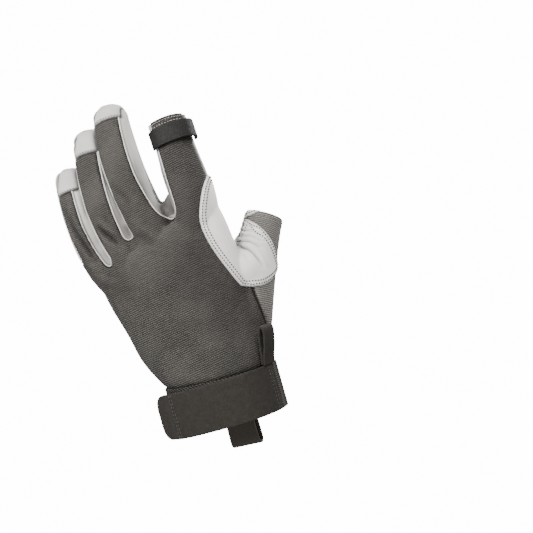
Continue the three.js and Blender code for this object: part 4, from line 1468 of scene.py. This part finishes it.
# Painted shade: a thin dark cord along the seam over each fingertip, for the shadow in its groove.
tip_seam_shade = bmesh.new()
on_tip = (pair[0] == ON_PALM) & np.isin(pair[1], SIDES) & (above_slot > TIP_SEAM_LOW)
for chain in vertex_chains(border[on_tip & (facing_palm < 0.1)]):
    if len(chain) > 12:
        cord_along(tip_seam_shade, shaped[chain], outward[chain], TIP_SEAM, 6)
tip_seam_shade_lines = seams_object("tip_seam_shade", tip_seam_shade, dark_thread_and_painted_shade)
print("rolled edges:", len(rolled_edges.data.polygons), "faces")
print("tip seams:", len(tip_seam_shade_lines.data.polygons), "faces")

# %% Stitch the caps
caps = bmesh.new()
for name in ("pinky", "ring", "middle"):
    at, side, fore = finger_place(FINGERS[name], centres)
    cap_at = FINGERS[name]["cap"]
    tip = (bare == ON_PALM) & (at > cap_at - 0.05) & (at < 1.1)
    tip &= (np.hypot(side, fore) < 0.8) & (fore < 0.1)
    cap_gap = finger_place(FINGERS[name], places)[0] - cap_at
    sew_rows(caps, cap_gap, 0.018, tip, shaped, pitch=1.9, length=1.3, thick=0.5)
cap_stitches = seams_object("cap_stitches", caps, grey_thread_painted_shade)
print("cap stitches:", len(cap_stitches.data.polygons), "faces")

# %% [markdown]
# ## Ribbons
# The cuff, the strap, the loops and the tab are all flat tapes. A grid is laid along a path, as wide
# as the tape, and gets its thickness from Solidify and its soft edges from Bevel.


# %% Lay a ribbon along a path
def path_points(path, spacing=1.0, rounds=2):
    """A path with its corners softened, resampled at an even spacing."""
    path = np.array(path, float)
    length = lengths_along(path)
    at = np.linspace(0, length[-1], max(int(length[-1] / spacing), 2) + 1)
    even = np.stack([np.interp(at, length, column) for column in path.T], -1)
    return np.stack([smoothed(column, rounds) for column in even.T], -1), at


def ribbon(name, path, half_widths, to_place, thickness, material, rows=12, closed=False, edge=0.35):
    """A tape: path in two numbers, half widths along it, and how a (path, width) point is placed."""
    share = np.linspace(-1, 1, rows + 1)
    points = np.array([to_place(p, share * half) for p, half in zip(path, half_widths)])
    length = lengths_along(path)
    flat = (round(length[-1], 1), round(2 * max(half_widths), 1), thickness)
    print(name, "laid flat:", *flat, "mm")
    bm = laid(points, closed=closed, capped=False)
    obj = link(name, bm, material)
    mesh = obj.data
    spots = np.array([v.co for v in mesh.vertices]) / MM
    tree = tree_of(points.reshape(-1, 3))
    found = np.array([tree.find(p)[1] for p in spots])
    along, across = np.divmod(found, rows + 1)
    weave = np.stack([length[along], share[across] * np.array(half_widths)[along], 0 * along], -1)
    vector_layer(mesh, "weave", weave)
    wall = obj.modifiers.new("wall", "SOLIDIFY")
    wall.thickness = thickness * MM
    wall.offset = 0
    soft = obj.modifiers.new("soft_edge", "BEVEL")
    soft.width = edge * MM
    soft.segments = 2
    soft.limit_method = "ANGLE"
    soft.angle_limit = math.radians(50)
    return obj


def wrist_outline(degrees, out):
    """Points of the wrist's outline, some way outside it."""
    turn = np.radians(degrees)
    x = spread(np.cos(turn), PALM_POWER) * (WRIST_WIDTH / 2 + out)
    y = spread(np.sin(turn), PALM_POWER) * (WRIST_DEPTH / 2 + out)
    return np.stack([x, y], -1)


def up_the_cuff(middle_height):
    """Places a path point of the wrist's plane at heights about a middle height."""

    def place(point, heights):
        x, y = (np.full(len(heights), number) for number in point)
        return wrist_point(x, y, middle_height + heights)

    return place


CUFF_THICKNESS = 2

cuff_path = wrist_outline(np.linspace(0, 360, 181), -CUFF_THICKNESS / 2)
cuff = ribbon(
    "cuff_tape",
    cuff_path,
    np.full(len(cuff_path), CUFF_HEIGHT / 2),
    up_the_cuff(CUFF_HEIGHT / 2),
    CUFF_THICKNESS,
    cuff_twill,
    closed=True,
)
dress(cuff, "cuff", "cuff")
print("cuff:", len(cuff.data.polygons), "faces")

# %% [markdown]
# ## The closure strap
# A suede strap runs round the back of the wrist. Its free end stands off the pinky side with rounded
# corners and two rows of stitches across. Its other end is sewn down on the thumb side, under a ribbed
# binding that is made of a column of long beads.

# %% Lay the strap
STRAP_WIDTH = 30
STRAP_THICKNESS = 2
STRAP_OVERHANG = 12
STRAP_CORNER = 9
STRAP_LIFT = 0.5
STRAP_DROOP = 4.5

strap_middle = STRAP_LIFT + STRAP_THICKNESS / 2
strap_path = wrist_outline(np.linspace(8, -152, 80), strap_middle)
tail = strap_path[-1] + np.linspace(0.08, 1, 12)[:, None] * np.array([-0.83, 0.56]) * STRAP_OVERHANG
strap_path, strap_at = path_points(np.vstack([strap_path, tail]))
strap_end = strap_at[-1] - strap_at
corner_drop = np.where(
    strap_end < STRAP_CORNER,
    STRAP_CORNER - np.sqrt(np.maximum(STRAP_CORNER**2 - (STRAP_CORNER - strap_end) ** 2, 0)),
    0,
)


def on_the_strap(at, height, out=0.0):
    """A place on the strap: distance along it, height from its middle, and out from its middle layer."""
    at, height, out = np.broadcast_arrays(np.asarray(at, float), height, out)
    x, y = (np.interp(at, strap_at, column) for column in strap_path.T)
    ends = [[np.interp(at + step, strap_at, column) for column in strap_path.T] for step in (0.5, -0.5)]
    ahead = np.stack(ends[0], -1) - np.stack(ends[1], -1)
    facing = unit(np.stack([-ahead[..., 1], ahead[..., 0]], -1))
    share = np.clip(at / strap_at[-1], 0, 1)
    droop = STRAP_DROOP * share**1.6
    x, y = x + facing[..., 0] * out, y + facing[..., 1] * out
    return wrist_point(x, y, CUFF_HEIGHT / 2 - droop + height)


def strap_place(point, heights):
    number = np.abs(strap_path - point).sum(1).argmin()
    return on_the_strap(np.full(len(heights), strap_at[number]), heights)


strap = ribbon(
    "closure_strap_suede",
    strap_path,
    STRAP_WIDTH / 2 - corner_drop,
    strap_place,
    STRAP_THICKNESS,
    strap_suede,
    rows=24,
    edge=0.5,
)
dress(strap, "closure_strap", "closure_strap")
print("strap:", round(strap_at[-1]), "mm long")

# %% Sew the strap's ends
BINDING_AT = 8.0
THUMB_ROWS = (12.2, 14.0)
FREE_ROWS = (strap_at[-1] - 22.5, strap_at[-1] - 20.4)

strap_thread = bmesh.new()
strap_binding = bmesh.new()


def stitch_across(bm, at, heights, length, thick, across=False):
    """Beads on the outside of the strap, in a column across it."""
    spots = on_the_strap(at, heights, STRAP_THICKNESS / 2)
    normal = unit(on_the_strap(at, heights, 2) - on_the_strap(at, heights, 0))
    upward = unit(on_the_strap(at, heights + 1) - on_the_strap(at, heights))
    direction = unit(np.cross(normal, upward)) if across else upward
    sew(bm, spots, direction, normal, length, thick, rise=0.05)


for at in FREE_ROWS + THUMB_ROWS:
    stitch_across(strap_thread, at, np.arange(-13.2, 13.3, 2.4), 1.7, 0.6)
stitch_across(strap_binding, BINDING_AT, np.arange(-14.4, 14.5, 1.3), 3.6, 1.1, across=True)
for name, made in (("strap_stitches", strap_thread), ("strap_binding", strap_binding)):
    seams_object(name, made, strap_thread_finish)
print("strap sewn at both ends")

# %% [markdown]
# ## The clip loop
# A webbing strip is sewn up the palm side of the cuff with a box of stitches, hangs below it in a loop
# for a carabiner and comes back inside.

# %% Hang the clip loop
LOOP_WIDTH = 19.5
LOOP_DROP = 25
LOOP_RUN = 26
LOOP_OPENING = 6
LOOP_ACROSS = -3
LOOP_FLARE = 0.7
WEBBING = 1.6
GAP = 0.3

loop_outside = WRIST_DEPTH / 2 + GAP + WEBBING / 2
loop_inside = WRIST_DEPTH / 2 - 2 - 5 * GAP - WEBBING / 2
loop_middle = (loop_outside + loop_inside) / 2
loop_half = (LOOP_OPENING + WEBBING) / 2
loop_bottom = -LOOP_DROP + loop_half + WEBBING / 2
loop_turn = np.radians(np.arange(0, 181, 15))
loop_neck = -0.3 * LOOP_DROP
loop_path = [(loop_outside, LOOP_RUN), (loop_outside, 0), (loop_middle + loop_half, loop_neck)]
loop_path += [
    (loop_middle + loop_half * math.cos(t), loop_bottom - loop_half * math.sin(t)) for t in loop_turn
]
loop_path += [(loop_middle - loop_half, loop_neck), (loop_inside, 0), (loop_inside, 0.3 * LOOP_RUN)]
loop_path, _ = path_points(loop_path, rounds=3)


def across_the_loop(point, widths):
    """A path point is (forward, up the cuff) and the width runs across the hand."""
    forward, up = (np.full(len(widths), number) for number in point)
    return wrist_point(LOOP_ACROSS + widths, forward, up)


clip_loop = ribbon(
    "clip_loop_tape",
    loop_path,
    LOOP_WIDTH / 2 + LOOP_FLARE * np.clip(-loop_path[:, 1] / LOOP_DROP, 0, 1),
    across_the_loop,
    WEBBING,
    loop_tape_painted_light,
    rows=18,
)
dress(clip_loop, "clip_loop", "clip_loop")

# %% Sew the strip to the cuff
BOX_ACROSS = (-7.6, 7.6)
BOX_UP = (2.6, 13.0, 23.6)
BOX_STITCH = (1.3, 0.5)

box = bmesh.new()
box_face = loop_outside + WEBBING / 2
for across in BOX_ACROSS:
    spots = [across_the_loop((box_face, up), np.array([across]))[0] for up in np.arange(3.5, 23, 1.9)]
    sew(box, spots, [wrist_axis] * len(spots), [FRONT] * len(spots), *BOX_STITCH)
for up in BOX_UP:
    spots = across_the_loop((box_face, up), np.arange(-6.7, 6.8, 1.9))
    sew(box, spots, [wrist_point(1, 0, 0)] * len(spots), [FRONT] * len(spots), *BOX_STITCH)
seams_object("box_stitches", box, dark_thread_and_painted_shade)
print("clip loop:", len(clip_loop.data.polygons), "faces, and its box of stitches")

# %% [markdown]
# ## The pull tab
# A narrow tape folded into a loop stands up from the strap's thumb end, to pull the glove on.

# %% Fold the pull tab
PULL_WIDTH = 9.5
PULL_HEIGHT = 26
PULL_OPENING = 3.4
PULL_TURN = 14
PULL_OUT = 0.6
PULL_FACE = 25
PULL_LEAN = 16
PULL = table(
    "up out", (0, 0.27), (0.2, 0.3), (0.5, 0.62), (0.8, 0.66), (0.92, 0.5), (0.97, 0.2), (0.975, 0)
)

pull_side = np.stack([-PULL["out"] * PULL_OPENING, PULL["up"] * PULL_HEIGHT], -1)
pull_path, _ = path_points(np.vstack([pull_side, pull_side[:-1][::-1] * [-1, 1]]), spacing=0.8)
pull_foot = wrist_outline(-PULL_TURN, strap_middle + PULL_OUT)
pull_foot_height = (CUFF_HEIGHT + STRAP_WIDTH) / 2 + GAP


def on_the_pull(point, widths):
    """The loop leans outwards and is turned a little to the back."""
    lean, face = math.radians(PULL_LEAN), math.radians(-PULL_FACE)
    x = point[0] * math.cos(lean) + point[1] * math.sin(lean)
    up = -point[0] * math.sin(lean) + point[1] * math.cos(lean)
    across = x * math.cos(face) - widths * math.sin(face)
    forward = x * math.sin(face) + widths * math.cos(face)
    height = np.full(len(widths), pull_foot_height + up)
    return wrist_point(pull_foot[0] + across, pull_foot[1] + forward, height)


pull_tab = ribbon(
    "pull_tab_tape",
    pull_path,
    np.full(len(pull_path), PULL_WIDTH / 2),
    on_the_pull,
    WEBBING,
    strap_suede,
    rows=10,
)
dress(pull_tab, "pull_tab", "pull_tab")
print("pull tab:", len(pull_tab.data.polygons), "faces")

# %% [markdown]
# ## The index tab
# A satin tape crosses the back of the open index finger and stands off as a loop on the thumb side.

# %% Wrap the index tab
TAB_HEIGHT = 12
TAB_THICKNESS = 1.5
TAB_STAND = 3.2
TAB_SLACK = 0.4
TAB_INSET = 5
TAB = table(
    "turn stand",
    (-142, 0),
    (-125, 0.1),
    (-100, 0.1),
    (-75, 0.15),
    (-55, 0.4),
    (-38, 0.8),
    (-20, 1),
    (-4, 0.9),
    (10, 0.5),
    (24, 0),
)

index = FINGERS["index"]
index_width = index["width"] * FINGER_WIDTH
tab_turn = np.linspace(TAB["turn"][0], TAB["turn"][-1], 60)
tab_off = GAP + TAB_SLACK + smoothed(np.interp(tab_turn, TAB["turn"], TAB["stand"]), 8) * TAB_STAND
tab_off += TAB_THICKNESS / 2
tab_turn = np.radians(tab_turn)
tab_x = spread(np.cos(tab_turn), FINGER_POWER) * (OPEN["wide"][-1] * index_width + tab_off)
tab_y = spread(np.sin(tab_turn), FINGER_POWER) * (OPEN["deep"][-1] * index_width + tab_off)
tab_path, _ = path_points(np.stack([tab_x, tab_y], -1), spacing=0.8)
tab_at = np.array([1 - (TAB_INSET + TAB_HEIGHT / 2) / (index["length"] * MIDDLE_LENGTH)])
tab_middle, tab_side, tab_front, tab_along = (v[0] for v in frames(finger_line(index), tab_at, FRONT))


def round_the_finger(point, widths):
    centre = tab_middle + tab_side * point[0] + tab_front * point[1]
    return centre + tab_along * widths[:, None]


index_tab = ribbon(
    "index_tab_tape",
    tab_path,
    np.full(len(tab_path), TAB_HEIGHT / 2),
    round_the_finger,
    TAB_THICKNESS,
    tab_satin,
)
dress(index_tab, "index_tab", "index_tab")
print("index tab:", len(index_tab.data.polygons), "faces")

# %% [markdown]
# ## Count the faces
# The scratch skin is freed and the faces of every mesh in the scene are counted.

# %% Count the faces
skin.free()
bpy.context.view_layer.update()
triangles = sum(len(o.data.polygons) for o in bpy.data.objects if o.type == "MESH")
print("faces in the scene:", triangles)
